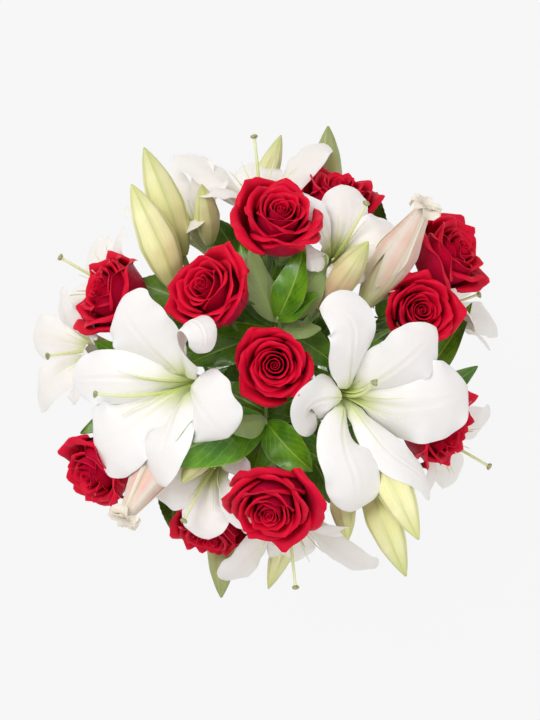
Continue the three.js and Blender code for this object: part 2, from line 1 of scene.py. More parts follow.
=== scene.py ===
import math
import bpy
import numpy as np
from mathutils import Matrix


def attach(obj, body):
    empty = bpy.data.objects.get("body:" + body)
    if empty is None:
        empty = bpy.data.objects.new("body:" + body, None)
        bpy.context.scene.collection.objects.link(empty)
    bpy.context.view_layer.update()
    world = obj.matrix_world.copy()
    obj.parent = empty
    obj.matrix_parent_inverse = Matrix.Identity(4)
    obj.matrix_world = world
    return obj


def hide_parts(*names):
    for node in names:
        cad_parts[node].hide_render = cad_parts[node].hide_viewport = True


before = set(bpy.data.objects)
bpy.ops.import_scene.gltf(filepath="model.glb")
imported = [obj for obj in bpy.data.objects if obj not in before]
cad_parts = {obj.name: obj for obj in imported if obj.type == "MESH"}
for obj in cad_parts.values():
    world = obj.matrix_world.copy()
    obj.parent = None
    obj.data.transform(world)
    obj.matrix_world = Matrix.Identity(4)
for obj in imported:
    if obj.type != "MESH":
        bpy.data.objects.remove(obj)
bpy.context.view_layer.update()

mm = 0.001
fullTurn = 2 * math.pi
up = np.array([0.0, 0.0, 1.0])
turnOver = np.diag([-1.0, -1.0, 1.0])  # half a turn about Z, which sets out the twins
print("frame loaded:", len(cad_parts), "nodes")


# vectors of length one
def unit(vectors):
    return vectors / np.linalg.norm(vectors, axis=-1, keepdims=True)


# unit vectors that lean tilt degrees from upright towards an azimuth
def leaning(tilt, azimuth):
    tilt, azimuth = np.radians(tilt), np.radians(azimuth)
    flat = np.sin(tilt)
    return np.stack([flat * np.cos(azimuth), flat * np.sin(azimuth), np.cos(tilt) + 0 * azimuth], -1)


# smallest turn that carries Z onto an axis: I + K + K K / (1 + cos)
def turnTo(axis):
    x, y, _ = np.cross(up, axis)
    k = np.array([[0, 0, y], [0, 0, -x], [-y, x, 0]])
    return np.eye(3) + k + k @ k / (1 + axis[2])


# a flower's axis and its seat, in mm, then its turn and seat after its half turn
def axisOf(entry):
    return leaning(*entry["lean"]) if "lean" in entry else unit(np.subtract(entry["tip"], entry["seat"]))


def seatOf(entry):
    if "heart" in entry:
        return np.array(entry["heart"]) - rose["height"] * axisOf(entry)
    return np.array(entry["seat"], float)


def placeOf(entry, half):
    return half @ turnTo(axisOf(entry)), half @ seatOf(entry)


# each entry of a table by name, and its twin half a turn round
def withTwins(table):
    for name, entry in table.items():
        yield name, entry, np.eye(3)
        if "twin" in entry:
            yield entry["twin"], entry, turnOver


# step from 0 at low to 1 at high: 3 t squared less 2 t cubed
def smooth(low, high, value):
    t = np.clip((value - low) / (high - low), 0, 1)
    return t * t * (3 - 2 * t)


# curve at shares t: neighbouring control points are mixed until one is left
def bezier(t, *controls):
    while len(controls) > 1:
        controls = [(1 - t) * a + t * b for a, b in zip(controls, controls[1:])]
    return controls[0]


# shares from 0 to 1 as a column, and the angles of a ring's points
def shares(count):
    return np.linspace(0, 1, count)[:, None]


def ringTurn(sides):
    return np.linspace(0, fullTurn, sides, endpoint=False)


# faces between the rows of a grid of point numbers and of the points beside them
def quadsOf(grid, beside):
    return np.stack([grid[:-1], beside[:-1], beside[1:], grid[1:]], -1).reshape(-1, 4)


# closed sheet over a grid of points: its two faces are half the thickness off along the cross
# product of the grid's directions, and share the border
def sheetPart(points, thickness, u, along, **values):
    rows, columns = points.shape[:2]
    inside = np.zeros((rows, columns), bool)
    inside[1:-1, 1:-1] = True
    both = lambda grid: np.concatenate([grid.reshape(-1, *grid.shape[2:]), grid[inside]])
    normals = np.cross(np.gradient(points, axis=1), np.gradient(points, axis=0))
    normals /= np.maximum(np.linalg.norm(normals, axis=-1, keepdims=True), 1e-9)
    half = np.where(inside, 0.5 * thickness, 0)[..., None] * normals
    front = np.arange(rows * columns).reshape(rows, columns)
    back = front.copy()
    back[inside] = rows * columns + np.arange(inside.sum())
    faces = [quadsOf(front[:, :-1], front[:, 1:]), quadsOf(back[:, :-1], back[:, 1:])[:, ::-1]]
    values = {"along": along, "across": np.abs(u), **values}
    values = {key: both(value * np.ones((rows, columns))) for key, value in values.items()}
    values["side"] = np.concatenate([np.where(inside, 1, 0.5).ravel(), np.zeros(inside.sum())])
    return {"points": np.concatenate([(points + half).reshape(-1, 3), (points - half)[inside]]),
            "faces": np.concatenate(faces).tolist(), "values": values,
            "uv": both(np.stack(np.broadcast_arrays(0.5 + 0.5 * u, along), -1))}


# closed band over rings of points, with a flat face on the first and the last
def bandPart(points, **values):
    rings, sides = points.shape[:2]
    grid = np.arange(rings * sides).reshape(rings, sides)
    faces = quadsOf(grid, np.roll(grid, -1, axis=1)).tolist() + [grid[0, ::-1].tolist(), grid[-1].tolist()]
    values = {"side": 1.0, **values}
    values = {key: np.broadcast_to(value, grid.shape).ravel() for key, value in values.items()}
    uv = np.stack(np.meshgrid(np.arange(sides) / sides, np.linspace(0, 1, rings)), -1)
    return {"points": points.reshape(-1, 3), "faces": faces, "values": values, "uv": uv.reshape(-1, 2)}


# tube of rings square to a path, each turned as little as can be
def tubePart(path, radius, sides, bulge=1, **values):
    tangent = unit(np.gradient(path, axis=0))
    normal = np.empty_like(path)
    first = np.cross(tangent[0], [0.3, 0.9, 0.2])
    for k, way in enumerate(tangent):
        first = unit(first - way * (first @ way))
        normal[k] = first
    turn = ringTurn(sides)[:, None]
    spoke = normal[:, None] * np.cos(turn) + np.cross(tangent, normal)[:, None] * np.sin(turn)
    return bandPart(path[:, None] + (np.reshape(radius, (-1, 1)) * bulge)[..., None] * spoke, **values)


# an object in the scene
def shown(name, data):
    made = bpy.data.objects.new(name, data)
    bpy.context.scene.collection.objects.link(made)
    return made


# one object from parts, turned and moved to the seat, in metres; sheets have sharp borders, and a
# part's number picks its material
def addPiece(name, parts, materials, nodeName, slotName, turn=np.eye(3), seat=(0, 0, 0)):
    joined = lambda key: np.concatenate([each[key] for each in parts])
    counts = [len(each["points"]) for each in parts]
    starts = np.cumsum([0] + counts).tolist()
    faces = [[corner + start for corner in face]
             for each, start in zip(parts, starts) for face in each["faces"]]
    mesh = bpy.data.meshes.new(name)
    mesh.from_pydata((joined("points") @ turn.T + np.asarray(seat)) * mm, [], faces)
    mesh.shade_smooth()
    numbers = [each.get("material", 0) for each in parts for face in each["faces"]]
    mesh.polygons.foreach_set("material_index", np.array(numbers, np.int32))
    corners = np.empty(len(mesh.loops), np.int32)
    mesh.loops.foreach_get("vertex_index", corners)
    mesh.uv_layers.new(name="UVMap").data.foreach_set("uv", joined("uv")[corners].ravel())
    for key in sorted({key for each in parts for key in each["values"]}):
        value = [each["values"].get(key, np.zeros(count)) for each, count in zip(parts, counts)]
        mesh.attributes.new(key, "FLOAT", "POINT").data.foreach_set("value", np.concatenate(value))
    side = np.concatenate([each["values"]["side"] for each in parts])
    ends = np.empty(2 * len(mesh.edges), np.int32)
    mesh.edges.foreach_get("vertices", ends)
    onBorder = (side[ends] == 0.5).reshape(-1, 2).all(axis=1)
    mesh.edges.foreach_set("use_edge_sharp", onBorder)
    for material in materials:
        mesh.materials.append(material)
    mesh.update()
    piece = shown(name, mesh)
    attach(piece, "root")
    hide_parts(nodeName)


# a shader node, its inputs given as values or as sockets to join
def node(tree, kind, inputs=None, **settings):
    made = tree.nodes.new(kind)
    for key, value in settings.items():
        setattr(made, key, value)
    for key, value in (inputs or {}).items():
        if isinstance(value, bpy.types.NodeSocket):
            tree.links.new(value, made.inputs[key])
        else:
            made.inputs[key].default_value = value
    return made


# sums on sockets and numbers, in the tree of the socket among them
def worked(operation, first, second=0.0, clamp=False):
    tree = (second if isinstance(first, float) else first).id_data
    return node(tree, "ShaderNodeMath", {0: first, 1: second},
                operation=operation, use_clamp=clamp).outputs[0]


def times(first, *others):
    for other in others:
        first = worked("MULTIPLY", first, other)
    return first


def plus(first, second):
    return worked("ADD", first, second)


def minus(first, second, clamp=False):
    return worked("SUBTRACT", first, second, clamp)


# two colours, each a socket or red, green and blue, mixed by a factor
def mixed(factor, first, second):
    first, second = ((*each, 1) if isinstance(each, tuple) else each for each in (first, second))
    return node(factor.id_data, "ShaderNodeMix", {0: factor, 6: first, 7: second},
                data_type="RGBA").outputs[2]


# tints laid on a colour in turn, each by a mask times a share
def layered(colour, *layers):
    for tint, mask, share in layers:
        colour = mixed(times(mask, share), colour, tint)
    return colour


# a value taken smoothly from start at low to end at high
def stepped(value, low, high, start=0.0, end=1.0):
    return node(value.id_data, "ShaderNodeMapRange", {0: value, 1: low, 2: high, 3: start, 4: end},
                interpolation_type="SMOOTHSTEP").outputs[0]


def ramp(value, stops):
    made = node(value.id_data, "ShaderNodeValToRGB", {0: value})
    line = made.color_ramp.elements
    while len(line) < len(stops):
        line.new(0.5)
    for element, (place, colour) in zip(line, stops):
        element.position = place
        element.color = (*colour, 1)
    return made.outputs[0]


def attributes(tree, *names):
    return [node(tree, "ShaderNodeAttribute", attribute_name=name).outputs["Fac"] for name in names]


# noise at a place, or at the object's own coordinates in metres
def noise(tree, scale, detail, roughness=0.5, place=None):
    place = place or node(tree, "ShaderNodeTexCoord").outputs["Object"]
    return node(tree, "ShaderNodeTexNoise",
                {"Vector": place, "Scale": scale, "Detail": detail, "Roughness": roughness}).outputs[0]


# a node group, and the sockets of its inputs inside it
def newGroup(name, outputs, **inputs):
    group = bpy.data.node_groups.new(name, "ShaderNodeTree")
    for label, value in inputs.items():
        group.interface.new_socket(label, in_out="INPUT", socket_type="NodeSocketFloat").default_value = value
    for label in outputs:
        group.interface.new_socket(label, in_out="OUTPUT", socket_type="NodeSocketFloat")
    return group, node(group, "NodeGroupInput").outputs


# fine lines along a petal or leaf, where noise stretched along it is near its middle value
petalVeins, given = newGroup("petalVeins", ["Line", "Shade"], Lines=40.0, Wander=2.0, Sharpness=1.0)
u, v, _ = node(petalVeins, "ShaderNodeSeparateXYZ",
               {0: node(petalVeins, "ShaderNodeUVMap", uv_map="UVMap").outputs[0]}).outputs
stretched = node(petalVeins, "ShaderNodeCombineXYZ",
                 {0: times(u, given["Lines"]), 1: times(v, given["Wander"])})
shade = noise(petalVeins, 1.0, 3.0, 0.55, stretched.outputs[0])
line = minus(1.0, times(worked("ABSOLUTE", minus(shade, 0.5)), 9.0), clamp=True)
node(petalVeins, "NodeGroupOutput", {"Line": worked("POWER", line, given["Sharpness"]), "Shade": shade})

# soft blotches through the whole piece
mottle, given = newGroup("mottle", ["Value"], Scale=60.0, Detail=3.0)
clouds = noise(mottle, given["Scale"], given["Detail"], 0.6)
node(mottle, "NodeGroupOutput", {"Value": stepped(clouds, 0.3, 0.7)})

# a leaf's side veins: thin lines at equal steps of along minus slant times across, bent by noise
sideVeins, given = newGroup("sideVeins", ["Line"], Count=9.0, Slant=0.35, Width=0.12)
along, across = attributes(sideVeins, "along", "across")
bent = plus(minus(along, times(across, given["Slant"])), times(noise(sideVeins, 90.0, 2.0), 0.04))
away = worked("ABSOLUTE", minus(worked("FRACT", times(bent, given["Count"])), 0.5))
node(sideVeins, "NodeGroupOutput", {"Line": minus(1.0, worked("DIVIDE", away, given["Width"]), clamp=True)})


def useGroup(tree, group, **values):
    return node(tree, "ShaderNodeGroup", values, node_tree=group).outputs


def blotches(tree, scale):
    return useGroup(tree, mottle, Scale=scale)[0]


# a material and its tree, with plain settings on its shader
def newMaterial(name, settings):
    material = bpy.data.materials.new(name)
    material.use_nodes = True
    for key, value in settings.items():
        material.node_tree.nodes["Principled BSDF"].inputs[key].default_value = value
    return material, material.node_tree


# joins a material's sockets: bump is (height, strength, distance), roughness (mask, low, high)
def finished(material, colour, bump=None, rough=None, **sockets):
    tree = material.node_tree
    sockets["Base Color"] = colour
    if bump:
        height, strength, distance = bump
        made = node(tree, "ShaderNodeBump", {"Height": height, "Strength": strength, "Distance": distance})
        sockets["Normal"] = made.outputs[0]
    if rough:
        sockets["Roughness"] = stepped(rough[0], 0.0, 1.0, *rough[1:])
    for key, socket in sockets.items():
        tree.links.new(socket, tree.nodes["Principled BSDF"].inputs[key])
    return material


# Tepals are [tip azimuth, length, width, start, end], 60 degrees apart from roll on, and may add
# [ease, twist, curl, curl start]: a tepal's angle to the axis goes from start to end, and a larger
# ease keeps it closed for longer. Filaments are [lean, azimuth, length]; a style is [length, lean,
# azimuth] and may add how far its bow is turned from that
lily = {
    "trumpetRadius": 11.0, "trumpetDepth": 27.0, "seatRadius": 3.6, "thickness": 1.0,
    "ruffle": 2.2, "peaks": (0.66, 0.52), "over": 2.0, "closing": 0, "cup": 0.5, "cupLoss": 0.36,
    "ribHeight": 0.5, "grooveDepth": 0.7, "tubeRows": 9,
}
heroSize = {**lily, "rows": 60, "columns": 25}
sideSize = {**lily, "rows": 34, "columns": 15}
openingSize = {**sideSize, "ruffle": 0.5, "over": 0.8, "closing": 29, "cup": -0.42, "cupLoss": 0}
lilyBlooms = {
    "hero_left": {
        "seat": [-65, -18, 422], "lean": [42, 187], "roll": 108, "style": [96, 35, 186, 28],
        "tepals": [
            [127, 98, 70, 40, 140, 2.2], [190, 111, 50, 42, 115, 1.6], [206, 113, 72, 42, 135, 2],
            [218, 100, 48, 44, 140, 1.8], [293, 80, 72, 44, 150, 1.6],
            [114, 118, 34, 54, 124, 1.75, 70, -281, 0.38]],
        "filaments": [
            [42, 167, 84], [32, 160, 80], [25, 157, 76], [38, 212, 80], [16, 248, 66], [20, 74, 62]],
    },
    "hero_right": {
        "seat": [56, -27, 414], "lean": [30, -25], "roll": 112, "style": [76, 19, 101],
        "tepals": [
            [78, 110, 46, 44, 120, 1.2, 0, 100, 0.5], [224, 60, 48, 66, 114, 0.61, 30, 150, 0.45],
            [350, 108, 54, 44, 130, 1.8, 0, -80, 0.4], [345, 116, 34, 46, 105, 1.4, 40, -54, 0.6],
            [24, 106, 78, 44, 115, 1.8], [42, 95, 58, 42, 110, 1.6]],
        "filaments": [[19, 104, 70], [26, 68, 74], [21, 20, 78], [23, 341, 76], [12, 321, 72], [43, 73, 60]],
    },
    "back_top": {
        "seat": [-10, 116, 372], "twin": "back_bottom", "lean": [66, 95], "roll": 155,
        "style": [92, 11, 98],
        "tepals": [
            [139, 103, 40, 34, 95], [215, 66, 36, 20, 100], [275, 32, 30, 24, 140],
            [335, 50, 30, 20, 124], [68, 97, 38, 34, 95], [96, 62, 46, 34, 90]],
    },
    "upper_right": {
        "seat": [48, 86, 396], "twin": "lower_left", "lean": [34, 52], "roll": 80, "style": [75, 24, 66],
        "tepals": [
            [102, 58, 46, 34, 100, 1.3], [139, 60, 26, 30, 95, 1.3], [196, 34, 28, 40, 130],
            [255, 22, 20, 50, 165], [320, 28, 24, 50, 160], [24, 54, 46, 34, 110, 1.3]],
    },
    "far_left": {
        "seat": [-148, 12, 342], "lean": [64, 182], "roll": 160, "style": [66, 10, 200],
        "tepals": [
            [183, 82, 44, 30, 100], [207, 99, 42, 30, 114], [280, 50, 34, 20, 100],
            [340, 46, 34, 20, 100], [40, 34, 32, 24, 120], [100, 60, 40, 26, 100]],
    },
    "left": {
        "seat": [-122, 52, 334], "twin": "low_right", "lean": [74, 150], "roll": 130,
        "style": [92, 10, 150],
        "tepals": [
            [126, 78, 46, 28, 90], [182, 76, 46, 28, 90], [250, 46, 32, 24, 110],
            [310, 24, 26, 24, 150], [10, 24, 26, 24, 150], [72, 58, 36, 20, 92]],
    },
    "behind_buds": {
        "seat": [-62, 104, 352], "lean": [62, 121], "roll": 125, "style": [66, 10, 120],
        "tepals": [
            [120, 80, 42, 30, 90], [160, 66, 34, 18, 80], [245, 30, 28, 24, 130],
            [305, 44, 30, 18, 100], [5, 56, 30, 18, 84], [65, 62, 30, 18, 76]],
    },
    "far_right": {
        "seat": [130, 41, 336], "lean": [80, 20], "roll": 48, "style": [66, 8, 20],
        "tepals": [
            [34, 90, 38, 30, 90], [108, 58, 32, 16, 86], [168, 34, 30, 20, 120],
            [228, 54, 32, 16, 90], [288, 58, 32, 16, 86], [2, 92, 38, 30, 90]],
    },
}
openingBuds = {
    "pink": {"seat": [76, 42, 392], "lean": [64, 59], "roll": 30, "style": [60, 4, 60], "twin": "low_pink",
             "tepals": [[30 + 60 * k, 112, 36, 16, end]
                        for k, end in enumerate((170, 120, 190, 140, 200, 130))]},
}


# share of a tepal's full width: a root of a sine up to the peak, then a rounded fall to a point
def tepalWidth(s, peak):
    rise = np.sin(0.5 * math.pi * np.minimum(1, s / peak)) ** 0.5
    fall = (1 - np.clip((s - peak) / (1 - peak), 0, 1) ** 2.6) ** 0.7
    return rise * fall


# a tepal's spine: its points, the azimuth and the twist at share s of its blade. Its angle from the
# axis is start + (end - start) s^ease; a curl turns the end of it round sideways, on edge. In a
# closed lily it leans in by `closing` past the middle and only its tip turns out
def tepalSpine(base, row, s, size):
    plain = [1, 0, 0, 0.6]
    tipAzimuth, length, _, start, end, ease, roll, curl, curlStart = row + plain[len(row) - 5:]
    bend = (tipAzimuth - base + 180) % 360 - 180
    angle = start + (end - start) * s ** ease
    closing = size["closing"]
    if closing:
        angle = start - closing * smooth(0, 0.6, s) + (end + closing - start) * smooth(0.86, 1, s)
    azimuth = base + bend * smooth(0, 1, s) + curl * smooth(curlStart, 1, s)
    steps = np.cumsum(leaning(angle, azimuth)[1:], axis=0) * length / (len(s) - 1)
    rim = size["trumpetRadius"] * leaning(90, base) + size["trumpetDepth"] * up
    return rim + np.vstack([np.zeros(3), steps]), azimuth, roll * smooth(curlStart - 0.25, curlStart + 0.1, s)


# a tepal's middle line from the seat, up the trumpet and out along its blade: its points, the ways
# beside and inwards there, the share of the blade and the distance from the axis
def tepalFrame(base, row, size):
    inTube = size["tubeRows"]
    t = np.linspace(0, 1, inTube, endpoint=False)
    tubeRadius = size["seatRadius"] + (size["trumpetRadius"] - size["seatRadius"]) * t ** 1.3
    tube = tubeRadius[:, None] * leaning(90, base) + (1 + (size["trumpetDepth"] - 1) * t)[:, None] * up
    s = np.linspace(0, 1, size["rows"])
    blade, azimuth, twist = tepalSpine(base, row, s, size)
    spine = np.concatenate([tube, blade])
    tangent = unit(np.gradient(spine, axis=0))
    beside = leaning(90, np.concatenate([np.full(inTube, base), azimuth]) + 90)
    beside = unit(beside - np.sum(beside * tangent, axis=1, keepdims=True) * tangent)
    inner = np.cross(beside, tangent)
    share = np.concatenate([np.zeros(inTube), s])[:, None]
    twist = np.radians(np.concatenate([np.zeros(inTube), twist]))[:, None]
    beside, inner = (beside * np.cos(twist) + inner * np.sin(twist),
                     inner * np.cos(twist) - beside * np.sin(twist))
    radius = np.concatenate([tubeRadius, np.hypot(blade[:, 0], blade[:, 1])])[:, None]
    return spine, beside, inner, share, radius


# a tepal: its cross-section is a cup of u squared that opens along the blade, with a groove beside
# the rib; the margins wave by u cubed times sines along it. Inner tepals lie over outer ones
def tepalPart(base, row, index, size, rng):
    spine, beside, inner, share, radius = tepalFrame(base, row, size)
    outer = index % 2
    full = 0.5 * row[2] * tepalWidth(share, size["peaks"][outer])
    blend = smooth(0.0, 0.1, share)
    half = np.maximum(0.7 * radius * (1 - blend) + np.minimum(full, 1.15 * radius) * blend, 0.5)
    u = np.linspace(-1, 1, size["columns"])
    phase = rng.uniform(0, 6.28, 3)
    wave = np.sin(share * rng.uniform(11, 15) + phase[0] + 1.2 * u)
    wave += 0.5 * np.sin(share * rng.uniform(22, 30) + phase[1] - 1.5 * u)
    wave *= smooth(0.25, 0.6, share) * (1 - 0.4 * smooth(0.85, 1, share))
    cup = (size["cup"] - size["cupLoss"] * smooth(0.1, 0.6, share)) * half
    lift = cup * u ** 2 + size["ruffle"] * (half / 26) * np.abs(u) ** 3 * wave
    fade = (1 - smooth(0.6, 0.95, share)) * np.minimum(1, half / 9)
    groove = size["grooveDepth"] * np.exp(-((np.abs(u) - 0.13) / 0.08) ** 2)
    lift += fade * (size["ribHeight"] * np.exp(-(u / 0.06) ** 2) - groove)
    over = size["over"] * smooth(0.02, 0.3, share) * (1 - smooth(0.55, 0.9, share))
    lift += (-over - 0.5 * (1 - share)) if outer else (0.8 * over + 0.4 * (1 - share))
    points = spine[:, None] + beside[:, None] * (half * u)[..., None] + inner[:, None] * lift[..., None]
    thickness = size["thickness"] * (1 - 0.6 * np.abs(u) ** 1.5) * (1 - 0.4 * share)
    return sheetPart(points, thickness, u, share)


# a style is a tube along a quadratic curve with a three-lobed stigma, whose rings are [distance
# past the style, radius, share of the lobes]
pistil = {
    "rings": 22, "sides": 12, "radius": 1.7, "lobes": 0.24, "filamentRings": 14, "filamentFoot": 3.2,
    "stigma": [[0.6, 2, 0.4], [1.6, 2.9, 1], [2.8, 3.3, 1], [3.8, 2.7, 1], [4.4, 1.3, 0.6]],
}


def stylePart(length, lean, azimuth, bow=0):
    t, stigma = shares(pistil["rings"]), np.array(pistil["stigma"])
    bend = 0.55 * length * (up if bow == 0 else leaning(0.8 * lean, azimuth + bow))
    path = bezier(t, 4.5 * up, bend, length * leaning(lean, azimuth))
    path = np.concatenate([path, path[-1] + unit(path[-1] - path[-2]) * stigma[:, :1]])
    radius = np.concatenate([pistil["radius"] - 0.3 * t, stigma[:, 1:2]])
    lobed = np.concatenate([0 * t, stigma[:, 2:]]) * np.cos(3 * ringTurn(pistil["sides"]))
    knob = np.concatenate([0 * t, np.ones((len(stigma), 1))])
    made = tubePart(path, radius, pistil["sides"], 1 + pistil["lobes"] * lobed, knob=knob,
                    along=shares(len(path)))
    return made | {"material": 1}


# a filament: a tube along a quadratic curve that gets thinner
def filamentPart(lean, azimuth, length):
    t = shares(pistil["filamentRings"])
    path = bezier(t, pistil["filamentFoot"] * leaning(90, azimuth) + 5 * up,
                  0.6 * length * leaning(0.35 * lean, azimuth), length * leaning(lean, azimuth))
    return tubePart(path, 1.05 - 0.6 * t, 7, along=t, knob=0 * t) | {"material": 1}


# pale flesh, green in the throat and along the rib, with fine lines along the tepal. Lines darken
# and dent it; the blush deepens outside and towards the rib, and `outer` stains the flanks outside
def tepalMaterial(name, petal, blush, blushShare, ribShare, outer=0.0):
    material, tree = newMaterial(name, {
        "Roughness": 0.42, "Subsurface Weight": 0.22, "Subsurface Radius": (1.0, 0.9, 0.75),
        "Subsurface Scale": 0.004, "Sheen Weight": 0.12, "Specular IOR Level": 0.35})
    along, across, side = attributes(tree, "along", "across", "side")
    line, shade = useGroup(tree, petalVeins, Lines=46.0, Wander=3.0, Sharpness=2.0)
    patches = blotches(tree, 70.0)
    outside = stepped(side, 0.4, 0.6)
    blushMask = times(plus(times(outside, 0.55), 0.45), stepped(across, 1.0, 0.15))
    colour = layered(petal, ((petal[0] * 0.95, petal[1] * 0.945, petal[2] * 0.93), patches, 0.35),
                     (blush, blushMask, blushShare),
                     ((0.8, 0.8, 0.72), line, stepped(along, 1.0, 0.1, 0.03, 0.12)))
    if outer:
        flank = times(outside, stepped(across, 0.02, 0.22, 0.2, 1.0), stepped(across, 0.95, 0.5, 0.15, 1.0),
                      stepped(along, 0.95, 0.6), plus(times(blotches(tree, 28.0), 0.8), 0.45))
        ridge = times(outside, stepped(across, 0.5, 0.0), stepped(along, 0.2, 0.9, 0.3, 1.0))
        colour = layered(colour, ((0.86, 0.5, 0.42), flank, outer), ((0.8, 0.74, 0.3), ridge, outer),
                         ((0.6, 0.62, 0.4), times(outside, stepped(along, 0.5, 0.1)), 0.5))
    rib = stepped(across, 0.16, 0.0)
    throat = stepped(plus(along, times(across, 0.1)), 0.24, 0.0)
    colour = layered(colour, ((0.66, 0.72, 0.34), rib, stepped(along, 0.55, 0.05, 0.0, ribShare)),
                     ((0.62, 0.7, 0.26), throat, 0.75), ((0.66, 0.66, 0.42), stepped(along, 0.95, 1.0), 0.4))
    return finished(material, colour, (plus(times(line, 0.6), shade), 0.12, 0.0005), (patches, 0.36, 0.5))


# pale green flesh of styles and filaments, with a brown-green stigma
def pistilMaterial():
    material, tree = newMaterial("pistilFlesh", {
        "Roughness": 0.4, "Subsurface Weight": 0.15, "Subsurface Scale": 0.002})
    along, knob = attributes(tree, "along", "knob")
    patches = blotches(tree, 420.0)
    flesh = ramp(along, [(0.0, (0.42, 0.55, 0.12)), (0.45, (0.7, 0.78, 0.3)), (1.0, (0.86, 0.86, 0.66))])
    colour = mixed(knob, flesh, mixed(patches, (0.25, 0.28, 0.1), (0.46, 0.46, 0.24)))
    return finished(material, colour, (patches, 0.3, 0.0003))


whiteTepal = tepalMaterial("whiteTepal", (0.98, 0.965, 0.945), (0.93, 0.76, 0.7), 0.5, 0.5)
# a darker, warmer copy of the white tepal: partly painted shade for the lilies further back, partly a warmer
# tint
shadedPaleTepal = tepalMaterial("shadedPaleTepal", (0.95, 0.91, 0.87), (0.86, 0.7, 0.6), 0.45, 0.5)
pinkTepal = tepalMaterial("pinkTepal", (0.9, 0.83, 0.7), (0.84, 0.6, 0.5), 0.4, 0.6, 0.85)
pistilFlesh = pistilMaterial()


# a lily of six tepals, its style and its six filaments, even where none are given
def makeLily(name, entry, nodeName, slotName, half, finish, seed, size):
    rng = np.random.default_rng(seed)
    parts = [tepalPart(entry["roll"] + 60 * index, row, index, size, rng)
             for index, row in enumerate(entry["tepals"])]
    parts.append(stylePart(*entry["style"]))
    filaments = entry.get("filaments") or [
        [rng.uniform(20, 30), entry["roll"] + 30 + 60 * k, 0.8 * entry["style"][0]] for k in range(6)]
    parts += [filamentPart(*row) for row in filaments]
    addPiece(name, parts, [finish, pistilFlesh], nodeName, slotName, *placeOf(entry, half))


for seed, (name, entry, half) in enumerate(withTwins(lilyBlooms)):
    hero = name.startswith("hero")
    # lilies further back take the darker copy, which paints their shade
    near = hero or name in ("upper_right", "lower_left")
    makeLily(f"{name}_lily", entry, f"lily_bloom_{name}", "white_petal", half,
             whiteTepal if near else shadedPaleTepal, seed, heroSize if hero else sideSize)
for seed, (name, entry, half) in enumerate(withTwins(openingBuds), 40):
    makeLily(f"{name}_opening_lily", entry, f"lily_opening_bud_{name}", "pink_petal", half,
             pinkTepal, seed, openingSize)
print("lilies made")


# a rose's heart is the middle of its top. Guards are outer petals, [azimuth, openness]. Its neck is
# where its stem passes the vase's neck, [radius, azimuth], and a leaf of the stem is [share of the
# way from the neck to the bloom, azimuth, rise, length, width]
rose = {
    "petals": 26, "petalTurn": 137.5, "radius": 36.0, "height": 55.0, "thickness": 0.7,
    "heartWrap": 150, "wrapLoss": 98, "rimRoll": 62, "sideRoll": 105, "rimLength": 9.6, "rimPoint": 4.6,
    "rows": 22, "rimRows": 9, "columns": 17, "sepals": 5, "sepalWidth": 4.4, "hipRadius": 3.6,
}
roseBlooms = {
    "centre": {
        "heart": [-1, -3, 478], "lean": [4, 200], "spin": 40, "size": 0.88, "guards": [[130, 0.2]],
        "neck": [0, 0], "leaves": [[0.3, 20, 10, 60, 30], [0.5, 200, 20, 60, 30]],
    },
    "upper_left": {
        "heart": [-67, 70, 466], "lean": [38, 140], "spin": 150, "size": 0.98,
        "guards": [[310, 0.1], [50, 0.25]],
        "neck": [14, 150], "leaves": [[0.78, 158, 3, 112, 46], [0.5, 230, 20, 58, 28]],
    },
    "right": {
        "heart": [134, 47, 430], "lean": [12, 20], "spin": 260, "size": 0.84,
        "guards": [[95, 0.25], [350, 0.3]],
        "neck": [28, 14], "leaves": [[0.3, 120, 20, 62, 30], [0.55, -70, 10, 60, 30]],
    },
    "top": {
        "heart": [6, 138, 463], "twin": "bottom", "lean": [35, 76], "spin": 60, "size": 0.96,
        "guards": [[182, 0.7], [285, 0.35], [345, 0.2]],
        "neck": [14, 90], "leaves": [[0.3, 60, 0, 62, 32], [0.5, 119, 12, 104, 38]],
    },
    "far_right": {
        "heart": [176, 108, 392], "twin": "far_left", "lean": [58, 32], "spin": 10, "size": 0.92,
        "guards": [[60, 0.4], [200, 0.4], [320, 0.4]],
        "neck": [40, 32], "leaves": [[0.6, 81, 12, 112, 36], [0.6, -10, -15, 60, 30]],
    },
    "left": {
        "heart": [-167, 70, 391], "twin": "low_right", "lean": [62, 152], "spin": 200, "size": 0.92,
        "guards": [[0, 0.4], [120, 0.4], [240, 0.4]],
        "neck": [28, 144], "leaves": [[0.35, 190, -5, 62, 32], [0.6, 110, -5, 58, 30]],
    },
    "far_top": {
        "heart": [61, 170, 378], "twin": "far_bottom", "lean": [65, 78], "spin": 320, "size": 0.92,
        "guards": [[20, 0.4], [150, 0.4], [260, 0.4]],
        "neck": [40, 72], "leaves": [[0.3, 40, -5, 62, 32], [0.55, 110, -20, 58, 30]],
    },
}


# a petal's wall: its radius and height rise from the seat on cubic curves, to a top that falls
# towards the two side edges, and it ends at an angle from upright
def petalWall(share, radius, opened, u, w, rng):
    top = rose["height"] * (0.93 - 0.17 * share ** 2) + rng.uniform(-2.2, 1.8) - 5 * opened
    lean = 5.5 * share ** 1.3 - 1.4 * (1 - share) + 8 * opened + rng.uniform(-1.2, 3.2) * share ** 2
    height = 7 + (top - 7) * (1 - (0.08 + 0.2 * share) * np.abs(u) ** 2.6)
    low = 5 + 4 * (1 - share)
    r = bezier(w, 0.12 * rose["radius"], 1.15 * radius, 1.12 * radius, radius + lean) + 0 * u
    z = bezier(w, low, low + 1, 0.45 * height + 6, height)
    return r, z, np.arctan2(lean - 0.12 * radius, 0.55 * height - 6)


